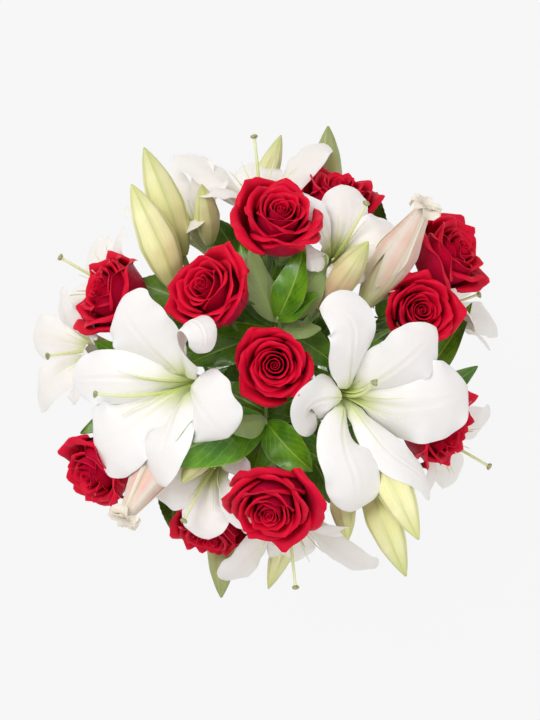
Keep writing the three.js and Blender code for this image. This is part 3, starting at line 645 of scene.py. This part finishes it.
# a petal's rim rolls outwards from the wall's angle by a power of the share along it; it rolls less
# and is longer at the middle, which leaves a point there
def petalRim(share, start, opened, u, q, rng):
    middle = rng.uniform(-0.45, 0.45)
    rolled = rose["rimRoll"] + rose["sideRoll"] * smooth(0.05, 0.8, np.abs(u - middle))
    rolled = np.radians(14 + share ** 0.9 * rolled * rng.uniform(0.65, 1.25))
    length = (1.4 + rose["rimLength"] * share ** 1.1 + 4 * opened) * (1 - 0.5 * np.abs(u) ** 3)
    length = length + rose["rimPoint"] * share * np.exp(-((u - middle) / 0.17) ** 2)
    steps = start + rolled * (q - 0.5 / rose["rimRows"]) ** 1.3
    return [np.cumsum(way(steps) * length / rose["rimRows"], axis=0) for way in (np.sin, np.cos)]


# A petal wraps round the axis, and its radius grows across it, so one edge is tucked under the next
# petal. Share runs from 0 at the heart to 1 at the outside; `opened` leans a petal out and lengthens
# its rim
def rosePetal(share, azimuth, rng, scale, opened=0):
    u = np.linspace(1, -1, rose["columns"])[None, :]
    w, q = shares(rose["rows"] - rose["rimRows"]), shares(rose["rimRows"] + 1)[1:]
    radius = 1.8 + (rose["radius"] - 10.5) * share ** 1.15 + rng.uniform(-0.7, 0.7)
    wrap = rose["heartWrap"] - rose["wrapLoss"] * share ** 0.5
    span = math.radians(wrap) + rng.uniform(-0.06, 0.06) + 0.12 * opened
    r, z, start = petalWall(share, radius, opened, u, w, rng)
    out, rise = petalRim(share, start, opened, u, q, rng)
    r, z = np.concatenate([r, r[-1] + out]), np.concatenate([z, z[-1] + rise])
    along = np.concatenate([0.75 * w, 0.75 + 0.25 * q])
    phase = rng.uniform(0, 6.28)
    wave = np.sin(2.4 * math.pi * u + phase) + 0.5 * np.sin(5.1 * math.pi * u + 2 * phase)
    r = r + (1.3 + 0.9 * share) * u * along + (0.6 + 0.6 * opened) * share * wave * along ** 3
    z = z + 0.9 * share * np.cos(3.1 * math.pi * u + phase) * along ** 3
    width = (0.35 + 0.65 * smooth(0, 0.5, along)) * (1 - 0.12 * smooth(0.85, 1, along))
    phi = math.radians(azimuth + rng.uniform(-14, 14) * share) + span * u * width
    points = np.stack([scale * r * np.cos(phi), scale * r * np.sin(phi), z], -1)
    thickness = rose["thickness"] * (1 - 0.55 * np.abs(u) ** 2) * (1 - 0.45 * along)
    return sheetPart(points, thickness, u, along, tone=rng.uniform(0, 1))


# a sepal: a strip that leaves the seat sideways and bends down, narrowing to its tip
def sepalPart(azimuth):
    s, u = shares(12), np.linspace(-1, 1, 7)[None, :]
    angle = np.radians(75 + 75 * s)
    r = 4 + np.cumsum(np.sin(angle) * 2.1, axis=0)
    z = 5 + np.cumsum(np.cos(angle) * 2.1, axis=0)
    half = rose["sepalWidth"] * (1 - s) ** 0.8 + 0.25
    out, beside = leaning(90, azimuth), leaning(90, azimuth + 90)
    lift = 0.18 * half * u ** 2
    points = (r + 0 * u)[..., None] * out + (half * u)[..., None] * beside + (z + lift)[..., None] * up
    return sheetPart(points, 0.5 * (1 - 0.5 * s), u, s) | {"material": 1}


# the hip under a bloom: a short upright tube that swells as a sine
def hipPart():
    t = shares(10)
    radius = rose["hipRadius"] + 2.6 * np.sin(math.pi * np.minimum(1, 0.15 + t * 0.75)) - 1.5 * t ** 4
    return tubePart((0.4 + 8.5 * t) * up, radius, 16, along=t) | {"material": 1}


# velvet red: darker towards the base, which is painted shade deep in the bloom, and brighter at the rim; a
# cooler and paler back with veins
def roseMaterial():
    material, tree = newMaterial("redPetal", {
        "Roughness": 0.55, "Sheen Weight": 0.12, "Sheen Roughness": 0.45, "Sheen Tint": (1.0, 0.1, 0.2, 1),
        "Specular IOR Level": 0.14})
    along, side, tone = attributes(tree, "along", "side", "tone")
    line, shade = useGroup(tree, petalVeins, Lines=60.0, Wander=4.0, Sharpness=1.5)
    patches = blotches(tree, 95.0)
    # front and back both darken towards the petal's base: painted shade where the petals sit deep in the
    # bloom
    front = ramp(along, [(0.0, (0.12, 0.0, 0.006)), (0.55, (0.42, 0.0, 0.012)), (0.82, (0.66, 0.0, 0.02)),
                         (1.0, (0.8, 0.002, 0.032))])
    back = ramp(along, [(0.0, (0.36, 0.004, 0.04)), (0.5, (0.5, 0.001, 0.045)), (1.0, (0.74, 0.002, 0.04))])
    colour = layered(mixed(stepped(side, 0.55, 0.35), front, back),
                     ((0.82, 0.03, 0.13), line, stepped(side, 0.55, 0.35, 0.06, 0.2)),
                     ((0.4, 0.0, 0.02), patches, 0.2), ((0.55, 0.0, 0.045), tone, 0.22))
    return finished(material, colour, (plus(shade, times(patches, 0.5)), 0.2, 0.0005), (patches, 0.46, 0.62))


# stems and sepals: two greens in blotches with fine lines along them, paler or redder spots
def stemMaterial(name, light, dark, spot, spotShare):
    material, tree = newMaterial(name, {"Roughness": 0.45, "Specular IOR Level": 0.4})
    line, shade = useGroup(tree, petalVeins, Lines=14.0, Wander=9.0, Sharpness=1.0)
    spots = blotches(tree, 520.0)
    colour = layered(mixed(blotches(tree, 55.0), light, dark), (dark, line, 0.3), (spot, spots, spotShare))
    return finished(material, colour, (plus(shade, times(spots, 0.4)), 0.25, 0.0005), (spots, 0.38, 0.55))


redPetal = roseMaterial()
roseGreen = stemMaterial("roseGreen", (0.16, 0.29, 0.06), (0.07, 0.16, 0.03), (0.3, 0.16, 0.07), 0.18)
lilyGreen = stemMaterial("lilyGreen", (0.34, 0.5, 0.16), (0.2, 0.36, 0.08), (0.42, 0.52, 0.25), 0.25)

for seed, (name, entry, half) in enumerate(withTwins(roseBlooms), 100):
    rng = np.random.default_rng(seed)
    parts = [rosePetal(k / (rose["petals"] - 1), entry["spin"] + rose["petalTurn"] * k, rng, entry["size"])
             for k in range(rose["petals"])]
    parts += [rosePetal(1, azimuth, rng, entry["size"], opened) for azimuth, opened in entry["guards"]]
    parts += [sepalPart(entry["spin"] + 360 / rose["sepals"] * k) for k in range(rose["sepals"])]
    addPiece(f"{name}_rose", parts + [hipPart()], [redPetal, roseGreen], f"rose_bloom_{name}",
             "red_petal", *placeOf(entry, half))
print("roses made")


# how a bud swells is [share of its length, share of its radius], from its base to its tip
budForm = {
    "rings": 40, "sides": 36, "bend": 0.05, "grooveDepth": 0.1, "grooveWidth": 0.16, "ribWidth": 0.2,
    "swell": [[0, 0.3], [0.05, 0.5], [0.25, 0.86], [0.47, 1], [0.72, 0.74], [0.9, 0.36], [1, 0.06]],
}
budBlooms = {
    "tall_yellow": {
        "seat": [-90, 68, 408], "tip": [-127, 157, 456], "radius": 18, "twin": "low_yellow", "tone": 0},
    "tall_olive": {
        "seat": [-85, 98, 392], "tip": [-118, 193, 428], "radius": 17, "twin": "low_olive", "tone": 0.2},
    "small_olive": {
        "seat": [-61, 110, 376], "tip": [-66, 160, 428], "radius": 12, "twin": "low_small", "tone": 0.2},
    "top_split": {
        "seat": [-24, 142, 330], "tip": [6, 214, 352], "radius": 12, "twin": "bottom_split", "tone": 0.3},
    "top_green": {
        "seat": [46, 138, 296], "tip": [51, 225, 332], "radius": 16, "twin": "bottom_green", "tone": 1},
    "peach": {
        "seat": [42, 50, 396], "tip": [82, 106, 462], "radius": 15, "twin": "low_peach", "tone": 0.1,
        "blush": 1},
}


# A bud swells from base to tip on a line smoothed three times. Its section has six lobes, three of
# them wider, with a groove between lobes that is deepest past the middle and closes at both ends
def budPart(length, radius, tone, blush=0):
    s, turn = shares(budForm["rings"]), ringTurn(budForm["sides"])
    body = np.interp(s, *np.transpose(budForm["swell"]))
    for _ in range(3):
        body[1:-1] = 0.25 * body[:-2] + 0.5 * body[1:-1] + 0.25 * body[2:]
    groove = np.exp(-(np.sin(1.5 * turn) / budForm["grooveWidth"]) ** 2) * np.sin(math.pi * s ** 0.8) ** 0.6
    rib = np.exp(-(np.sin(1.5 * turn + math.pi / 2) / budForm["ribWidth"]) ** 2)
    lobes = (0.06 * np.cos(6 * turn) + 0.07 * np.cos(3 * turn)) * (0.4 + 0.6 * s)
    r = radius * body * (1 + lobes - budForm["grooveDepth"] * groove)
    x = r * np.cos(turn) + budForm["bend"] * radius * np.sin(math.pi * s)
    points = np.stack([x, r * np.sin(turn), length * s + 0 * turn], -1)
    return bandPart(points, along=s, groove=groove, rib=rib, tone=float(tone), blush=float(blush))


# pale yellow to olive skin, green in the grooves, along the ribs and at the base
def budMaterial():
    material, tree = newMaterial("budSkin", {
        "Roughness": 0.38, "Subsurface Weight": 0.1, "Subsurface Scale": 0.003})
    along, groove, rib, tone, blush = attributes(tree, "along", "groove", "rib", "tone", "blush")
    line, shade = useGroup(tree, petalVeins, Lines=40.0, Wander=3.0, Sharpness=1.5)
    patches = blotches(tree, 80.0)
    pale = ramp(along, [(0.0, (0.5, 0.58, 0.16)), (0.3, (0.93, 0.9, 0.42)), (0.75, (0.97, 0.94, 0.54)),
                        (1.0, (0.62, 0.66, 0.22))])
    olive = ramp(along, [(0.0, (0.2, 0.3, 0.06)), (0.5, (0.42, 0.46, 0.16)), (1.0, (0.2, 0.28, 0.08))])
    colour = layered(mixed(tone, pale, olive),
                     ((0.42, 0.48, 0.1), worked("MAXIMUM", groove, times(rib, 0.8)), 0.75),
                     ((0.55, 0.58, 0.22), line, 0.2), ((0.75, 0.62, 0.4), patches, 0.15),
                     ((0.84, 0.5, 0.34), times(blush, stepped(along, 0.85, 0.25)),
                      minus(0.85, times(rib, 0.6))))
    return finished(material, colour, (shade, 0.3, 0.0006), (patches, 0.32, 0.46))


budSkin = budMaterial()
for name, entry, half in withTwins(budBlooms):
    length = np.linalg.norm(np.subtract(entry["tip"], entry["seat"]))
    bud = budPart(length, entry["radius"], entry["tone"], entry.get("blush", 0))
    addPiece(f"{name}_bud", [bud], [budSkin], f"lily_bud_{name}", "bud_skin", *placeOf(entry, half))
print("buds made")


# The stems cross the vase as one twisted cone, then each curves to its flower. A lily stem carries
# its heads above its fork; its twin carries those that have a twin. Its neck and leaves are as a
# rose's. A sprig's leaves are [from, to, width, roll, arch].
bundle = {
    "floor": 15.8, "neckHeight": 205.0, "footScale": 0.72, "twist": 28.0, "footPoints": 14, "points": 34,
}
stemRadii = {"rose": 3.2, "lily": 4.0, "pedicel": 2.8, "sprig": 2.2, "petiole": 1.4}
lilyStems = {
    "left": {
        "neck": [28, 190], "fork": [-60, 4, 300], "lean": [34, 175],
        "heads": ["hero_left", "far_left", "left"],
        "leaves": [[0.4, 215, 0, 84, 17], [0.8, 160, -10, 88, 17]],
    },
    "right": {
        "neck": [28, 350], "fork": [60, 4, 292], "lean": [34, 5],
        "heads": ["hero_right", "low_right", "far_right"],
        "leaves": [[0.4, 330, 0, 84, 17], [0.8, 25, -10, 88, 17]],
    },
    "upper_left": {
        "neck": [28, 118], "fork": [-44, 62, 312], "twin": "low_right", "lean": [35, 125],
        "heads": ["tall_yellow", "tall_olive", "small_olive", "behind_buds"],
        "leaves": [[0.4, 100, 0, 84, 17], [0.8, 160, -10, 88, 17]],
    },
    "top": {
        "neck": [40, 100], "fork": [-8, 84, 300], "twin": "bottom", "lean": [40, 95],
        "heads": ["top_split", "top_green", "back_top"],
        "leaves": [[0.45, 140, 0, 84, 17], [0.8, 60, -15, 84, 17]],
    },
    "upper_right": {
        "neck": [28, 55], "fork": [36, 44, 310], "twin": "lower_left", "lean": [30, 52],
        "heads": ["peach", "pink", "upper_right"],
        "leaves": [[0.4, 20, 0, 80, 17], [0.8, 58, 0, 112, 26]],
    },
}
sprigs = {
    "upper": {
        "neck": [14, 30], "tip": [2, 40, 430], "lean": [30, 110],
        "leaves": [
            [[1, 36, 418], [-22, 104, 432], 28, 200, 8], [[2, 38, 424], [26, 102, 440], 32, -25, 10],
            [[2, 38, 426], [38, 62, 436], 26, -40, 6], [[2, 36, 416], [46, 96, 430], 34, 190, 8],
            [[1, 32, 400], [-32, 108, 400], 30, -10, 6], [[2, 34, 404], [42, 30, 418], 22, 150, 8],
            [[0, 30, 396], [-76, 36, 402], 34, 20, 8], [[0, 28, 390], [-84, -3, 386], 36, 10, 6],
            [[2, 30, 392], [60, -6, 380], 32, -10, 6]],
    },
    "lower": {
        "neck": [14, 216], "tip": [-8, -56, 428], "lean": [30, 270],
        "leaves": [
            [[-8, -54, 424], [-102, -90, 460], 52, -12, 14], [[-8, -54, 424], [34, -98, 436], 38, 20, 10],
            [[-7, -50, 410], [48, -92, 410], 36, -10, 8], [[-8, -52, 414], [-22, -106, 408], 30, 0, 6],
            [[-8, -52, 428], [-46, -54, 452], 28, 200, 8], [[-7, -48, 402], [26, -52, 414], 22, -40, 8],
            [[-7, -46, 394], [-54, -22, 380], 34, 10, 6], [[-7, -48, 394], [40, -18, 378], 30, -10, 6]],
    },
    "right_collar": {
        "neck": [40, -30], "tip": [106, -50, 338], "lean": [65, -24],
        "leaves": [
            [[105, -49, 336], [192, -4, 350], 32, 6, 6], [[106, -46, 340], [186, 56, 356], 30, -20, 12],
            [[84, -52, 392], [110, -114, 422], 28, 0, 4], [[84, -40, 322], [130, -20, 318], 26, -10, 6]],
    },
    "left_collar": {
        "neck": [40, 192], "tip": [-112, -28, 342], "lean": [65, 194],
        "leaves": [
            [[-106, -26, 340], [-166, 20, 402], 30, -10, 6], [[-109, -27, 340], [-170, -38, 350], 28, 10, 6],
            [[-97, -24, 334], [-184, -68, 346], 30, 15, 6], [[-86, -20, 326], [-104, -88, 306], 30, -10, 6]],
    },
}


# point of the bundle at a share of the way up to the neck: radius and angle change evenly
def bundlePoint(neck, share):
    radius = neck[0] * (bundle["footScale"] + (1 - bundle["footScale"]) * share)
    height = bundle["floor"] + (bundle["neckHeight"] - bundle["floor"]) * share
    return radius * leaning(90, neck[1] + bundle["twist"] * (1 - share)) * [1, 1, 0] + height * up


# a stem's whole path, straight to the neck and then curved to its seat, and the curve alone
def stemPaths(neck, seat, axis):
    foot, top = bundlePoint(neck, 0), bundlePoint(neck, 1)
    reach = 0.42 * np.linalg.norm(seat - top)
    straight = foot + shares(bundle["footPoints"])[:-1] * (top - foot)
    curve = bezier(shares(bundle["points"]), top, top + unit(top - foot) * reach, seat - axis * reach, seat)
    return np.concatenate([straight, curve]), curve


# point at a share of a path's length
def placeAt(path, share):
    length = np.concatenate([[0], np.cumsum(np.linalg.norm(np.diff(path, axis=0), axis=1))])
    return np.array([np.interp(share * length[-1], length, line) for line in path.T])


# A blade from one point to another: arched, folded a little along its rib, with a wavy margin and
# a drawn-out tip. Its half width is a power of a sine; teeth cut the margin where asked for. It is
# turned round where its face would look down
blade = {"thickness": 0.7, "fold": 0.22, "waves": 0.045, "ribDepth": 0.5, "toothDepth": 0.07}


def bladePart(start, end, width, roll, arch, rng, rows, columns, teeth=0, narrow=False):
    start, end = np.asarray(start, float), np.asarray(end, float)
    length = np.linalg.norm(end - start)
    way = unit(end - start)
    level = unit(np.cross(way, up))
    beside = level * math.cos(math.radians(roll)) + np.cross(way, level) * math.sin(math.radians(roll))
    normal = np.cross(beside, way)
    s, u = shares(rows), np.linspace(-1, 1, columns)[None, :]
    profile = np.maximum(np.sin(math.pi * s ** (0.9 if narrow else 0.78)), 0)
    half = 0.5 * width * profile ** (1.1 if narrow else 0.85) + 0.35
    if teeth:
        teeth = (np.mod(s * teeth, 1) - 0.5) * smooth(0.05, 0.2, s) * smooth(1, 0.9, s)
    half = half * (1 + blade["toothDepth"] * teeth)
    phase = rng.uniform(0, 6.28, 2)
    wave = np.sin(9 * s + phase[0] + 1.5 * u) + 0.5 * np.sin(17 * s + phase[1] - u)
    lift = blade["waves"] * width * wave * u ** 2 * (0.3 + smooth(0.1, 0.5, s))
    lift = blade["fold"] * half * np.abs(u) ** 1.4 + lift
    lift = lift - blade["ribDepth"] * np.exp(-(u / 0.09) ** 2) * (1 - 0.8 * s)
    middle = start + s * (end - start) + 4 * arch * s * (1 - s) * up
    curl = rng.uniform(-0.06, 0.06) * length * np.sin(math.pi * s)
    points = middle[:, None] + (half * u + curl)[..., None] * beside + lift[..., None] * normal
    if normal[2] < 0 and abs(roll) < 90:
        points = points[:, ::-1]
    thickness = blade["thickness"] * (1 - 0.4 * np.abs(u)) * (1 - 0.4 * s)
    return sheetPart(points, thickness, u, s) | {"material": 1}


# a rose leaf: a stalk with one leaflet at its end and a pair beside it, each given as [turn, share
# of the leaf's length, foot, share of its width]
roseLeaflets = [[0, 0.62, 0.02, 0.95], [62, 0.44, -0.04, 0.78], [-62, 0.44, -0.04, 0.78]]


def roseLeafParts(start, azimuth, rise, length, width, rng):
    way = leaning(90 - rise, azimuth)
    joint = start + 0.42 * length * way
    stalk = bezier(shares(10), start, start + 0.14 * length * way + 2 * up, joint - 0.1 * length * way, joint)
    parts = [tubePart(stalk, np.linspace(1.3, 0.8, 10), 7)]
    for turn, reach, base, share in roseLeaflets:
        foot = joint + base * length * way
        tip = foot + reach * length * leaning(90 - rise + rng.uniform(-4, 8), azimuth + turn)
        parts.append(bladePart(foot, tip, width * share, rng.uniform(-18, 18), 0.05 * length, rng,
                               46, 11, teeth=15))
    return parts


# a thorn leaves its stem sideways and hooks down it, as a square of the share
thorn = {"places": [0.2, 0.36, 0.52, 0.7], "root": 2.4, "length": 3.6, "hook": 1.6,
         "radii": [1.5, 1.0, 0.6, 0.3, 0.08]}


def thornPart(place, away, along):
    t = shares(len(thorn["radii"]))
    path = place + away * (thorn["root"] + thorn["length"] * t) - along * thorn["hook"] * t ** 2
    return tubePart(path, thorn["radii"], 8)


# glossy leaf: darker face, paler matt back, light rib and side veins from the leaf's own map
def leafMaterial(name, face, deep, back, vein, roughness, coat, count, slant):
    material, tree = newMaterial(name, {
        "Roughness": roughness, "Coat Roughness": 0.2, "Specular IOR Level": 0.28})
    across, side = attributes(tree, "across", "side")
    fine = blotches(tree, 600.0)
    sideVein = useGroup(tree, sideVeins, Count=count, Slant=slant)[0]
    under = stepped(side, 0.55, 0.45)
    colour = layered(mixed(under, mixed(blotches(tree, 48.0), face, deep), back), (vein, sideVein, 0.22),
                     (vein, stepped(across, 0.07, 0.015), 0.75), (vein, stepped(across, 0.93, 1.0), 0.45))
    height = minus(times(fine, 0.4), times(sideVein, 0.8))
    return finished(material, colour, (height, 0.35, 0.0006), (fine, roughness - 0.06, roughness + 0.12),
                    **{"Coat Weight": stepped(under, 0.0, 1.0, coat, 0.0)})


roseLeaf = leafMaterial("roseLeaf", (0.1, 0.21, 0.012), (0.04, 0.11, 0.005), (0.24, 0.34, 0.11),
                        (0.26, 0.36, 0.08), 0.42, 0.12, 9.0, 0.3)
lilyLeaf = leafMaterial("lilyLeaf", (0.21, 0.41, 0.012), (0.09, 0.25, 0.005), (0.36, 0.46, 0.18),
                        (0.4, 0.54, 0.16), 0.36, 0.3, 1.2, 2.4)
glossyLeaf = leafMaterial("glossyLeaf", (0.13, 0.33, 0.008), (0.045, 0.17, 0.004), (0.34, 0.46, 0.18),
                          (0.36, 0.54, 0.08), 0.3, 0.45, 7.0, 0.45)

for seed, (name, entry, half) in enumerate(withTwins(roseBlooms), 200):
    rng = np.random.default_rng(seed)
    path, curve = stemPaths(entry["neck"], seatOf(entry) - 0.3 * axisOf(entry), axisOf(entry))
    wavy = 1 + 0.05 * np.sin(np.linspace(0, 30, len(path)))
    parts = [tubePart(path, stemRadii["rose"] * wavy, 12)]
    for share, *row in entry["leaves"]:
        parts += roseLeafParts(placeAt(curve, share), *row, rng)
    for share in thorn["places"]:
        place = placeAt(curve, share + rng.uniform(-0.04, 0.04))
        along = unit(placeAt(curve, share + 0.05) - place)
        away = unit(np.cross(along, leaning(90, rng.uniform(0, 360))))
        parts.append(thornPart(place, away, along))
    addPiece(f"{name}_rose_stem", parts, [roseGreen, roseLeaf], f"rose_stem_{name}", "rose_green", half)

# seats and axes of everything that stands on a lily stem
standing = {**lilyBlooms, **openingBuds, **budBlooms}
heads = {name: (half @ seatOf(entry), half @ axisOf(entry)) for name, entry, half in withTwins(standing)}
for seed, (name, stem, half) in enumerate(withTwins(lilyStems), 211):
    rng = np.random.default_rng(seed)
    fork, way = np.array(stem["fork"], float), leaning(*stem["lean"])
    path, curve = stemPaths(stem["neck"], fork, way)
    knots = 1 + 0.07 * np.exp(-(np.mod(np.linspace(0, 9, len(path)), 1) - 0.5) ** 2 / 0.02)
    parts = [tubePart(path, stemRadii["lily"] * knots * np.linspace(1.0, 0.92, len(path)), 14)]
    t = shares(26)
    for index, head in enumerate(stem["heads"]):
        if name in lilyStems or "twin" in standing[head]:
            seat, axis = heads[head]
            seat = seat - 0.3 * axis
            start = fork - (1.5 + index) * way
            reach = 0.4 * np.linalg.norm(seat - start)
            path = bezier(t, start, start + way * reach, seat - axis * reach, seat)
            parts.append(tubePart(path, stemRadii["pedicel"] * (1.1 - 0.15 * np.sin(math.pi * t)), 12))
    for share, azimuth, rise, length, width in stem["leaves"]:
        place = placeAt(curve, share)
        parts.append(bladePart(place, place + length * leaning(90 - rise, azimuth), width,
                               rng.uniform(-15, 15), 0.12 * length, rng, 34, 9, narrow=True))
    addPiece(f"{name}_lily_stem", parts, [lilyGreen, lilyLeaf], f"lily_stem_{name}", "lily_green", half)

for seed, (name, sprig) in enumerate(sprigs.items(), 219):
    rng = np.random.default_rng(seed)
    path, curve = stemPaths(sprig["neck"], np.array(sprig["tip"], float), leaning(*sprig["lean"]))
    parts = [tubePart(path, stemRadii["sprig"] * np.linspace(1.1, 0.7, len(path)), 10)]
    for row in sprig["leaves"]:
        foot = np.array(row[0], float)
        near = curve[np.argmin(np.linalg.norm(curve - foot, axis=1))]
        petiole = bezier(shares(8), near, near + 0.4 * (foot - near) + 0.5 * up,
                         foot, foot + 0.04 * (row[1] - foot))
        parts.append(tubePart(petiole, stemRadii["petiole"], 8))
        parts.append(bladePart(*row, rng, 44, 17))
    addPiece(f"{name}_foliage", parts, [lilyGreen, glossyLeaf], f"foliage_sprig_{name}", "glossy_leaf")
print("stems and leaves made")


# outline of the wall as [radius, height] in mm: up the outside, over the rim, down the inside
vase = {
    "outline": [[0, 0], [44, 0], [52, 0], [55, 3], [55.5, 12], [51, 74], [53.5, 128], [61, 188], [72, 236.5],
                [70.5, 238], [69, 238], [68, 236.5], [57, 188], [49.5, 128], [47, 74], [50, 24], [43, 15],
                [30, 15], [0, 15]],
    "sides": 120, "rounding": 3,
}


# turned shape: the outline's corners are cut a few times and its points carried round Z; the flat
# middles of the foot and the floor close it
def turnedPart(outline, sides, rounding):
    line = np.array(outline, float)
    for _ in range(rounding):
        first, second = line[:-1], line[1:]
        inside = np.stack([0.75 * first + 0.25 * second, 0.25 * first + 0.75 * second], 1).reshape(-1, 2)
        line = np.concatenate([line[:1], inside[1:-1], line[-1:]])
    turn, radius, height = ringTurn(sides), line[1:-1, :1], line[1:-1, 1:]
    return bandPart(np.stack([radius * np.cos(turn), radius * np.sin(turn), height + 0 * turn], -1))


# clear glass with the faint waviness of blown walls
def glassMaterial():
    material, tree = newMaterial("clearGlass", {"Roughness": 0.02, "IOR": 1.48, "Transmission Weight": 1.0})
    waves = blotches(tree, 14.0)
    colour = mixed(waves, (0.97, 0.99, 0.98), (0.93, 0.975, 0.96))
    return finished(material, colour, (waves, 0.06, 0.001), (waves, 0.01, 0.035))


addPiece("glass_vase", [turnedPart(**vase)], [glassMaterial()], "vase", "clear_glass")
print("vase made")


# a light is [name, place, size in metres, power]
studio = {
    "floorSide": 8.0, "floorDrop": 0.0003, "floorColour": 0.03, "floorGlow": 0.9, "worldStrength": 0.58,
    "target": (0, 0, 0.4), "lights": [["key", (-0.9, 0.8, 2.4), 1.2, 29], ["fill", (1.3, -0.9, 1.9), 1.8, 9]],
}
camera = {"place": (-0.0045, 0.0018, 2.03), "lens": 88.9, "sensor": 36.0}  # straight down on the flowers


# pale paper that glows a little, so that it stays white under the flowers
def makeFloor():
    side, drop = 0.5 * studio["floorSide"], -studio["floorDrop"]
    mesh = bpy.data.meshes.new("floor")
    mesh.from_pydata([(-side, -side, drop), (side, -side, drop), (side, side, drop), (-side, side, drop)],
                     [], [(0, 1, 2, 3)])
    grey, glow = studio["floorColour"], studio["floorGlow"]
    material, tree = newMaterial("palePaper", {
        "Roughness": 0.9, "Specular IOR Level": 0.0, "Emission Color": (glow, glow, glow, 1),
        "Emission Strength": 1.0})
    patchy = mixed(blotches(tree, 3.0), (grey, grey, grey), (0.95 * grey, 0.95 * grey, 0.95 * grey))
    mesh.materials.append(finished(material, patchy))
    shown("floor", mesh)


# a white world and square lamps that face the flowers
def makeLights():
    world = bpy.data.worlds.new("studio")
    world.use_nodes = True
    background = world.node_tree.nodes["Background"]
    background.inputs[0].default_value = (1, 1, 1, 1)
    background.inputs[1].default_value = studio["worldStrength"]
    bpy.context.scene.world = world
    for name, place, size, power in studio["lights"]:
        lamp = bpy.data.lights.new(name, "AREA")
        lamp.size, lamp.energy = size, power
        light = shown(name, lamp)
        light.location = place
        x, y, z = np.array(studio["target"]) - np.array(place)
        light.rotation_euler = (math.atan2(np.hypot(x, y), -z), 0, math.atan2(y, x) - math.pi / 2)


def makeCamera():
    eye = shown("camera", bpy.data.cameras.new("camera"))
    eye.data.lens, eye.data.sensor_width, eye.data.clip_end = camera["lens"], camera["sensor"], 50
    eye.location = camera["place"]
    bpy.context.scene.camera = eye


makeFloor()
makeLights()
makeCamera()
bpy.context.scene.view_settings.view_transform = "Standard"
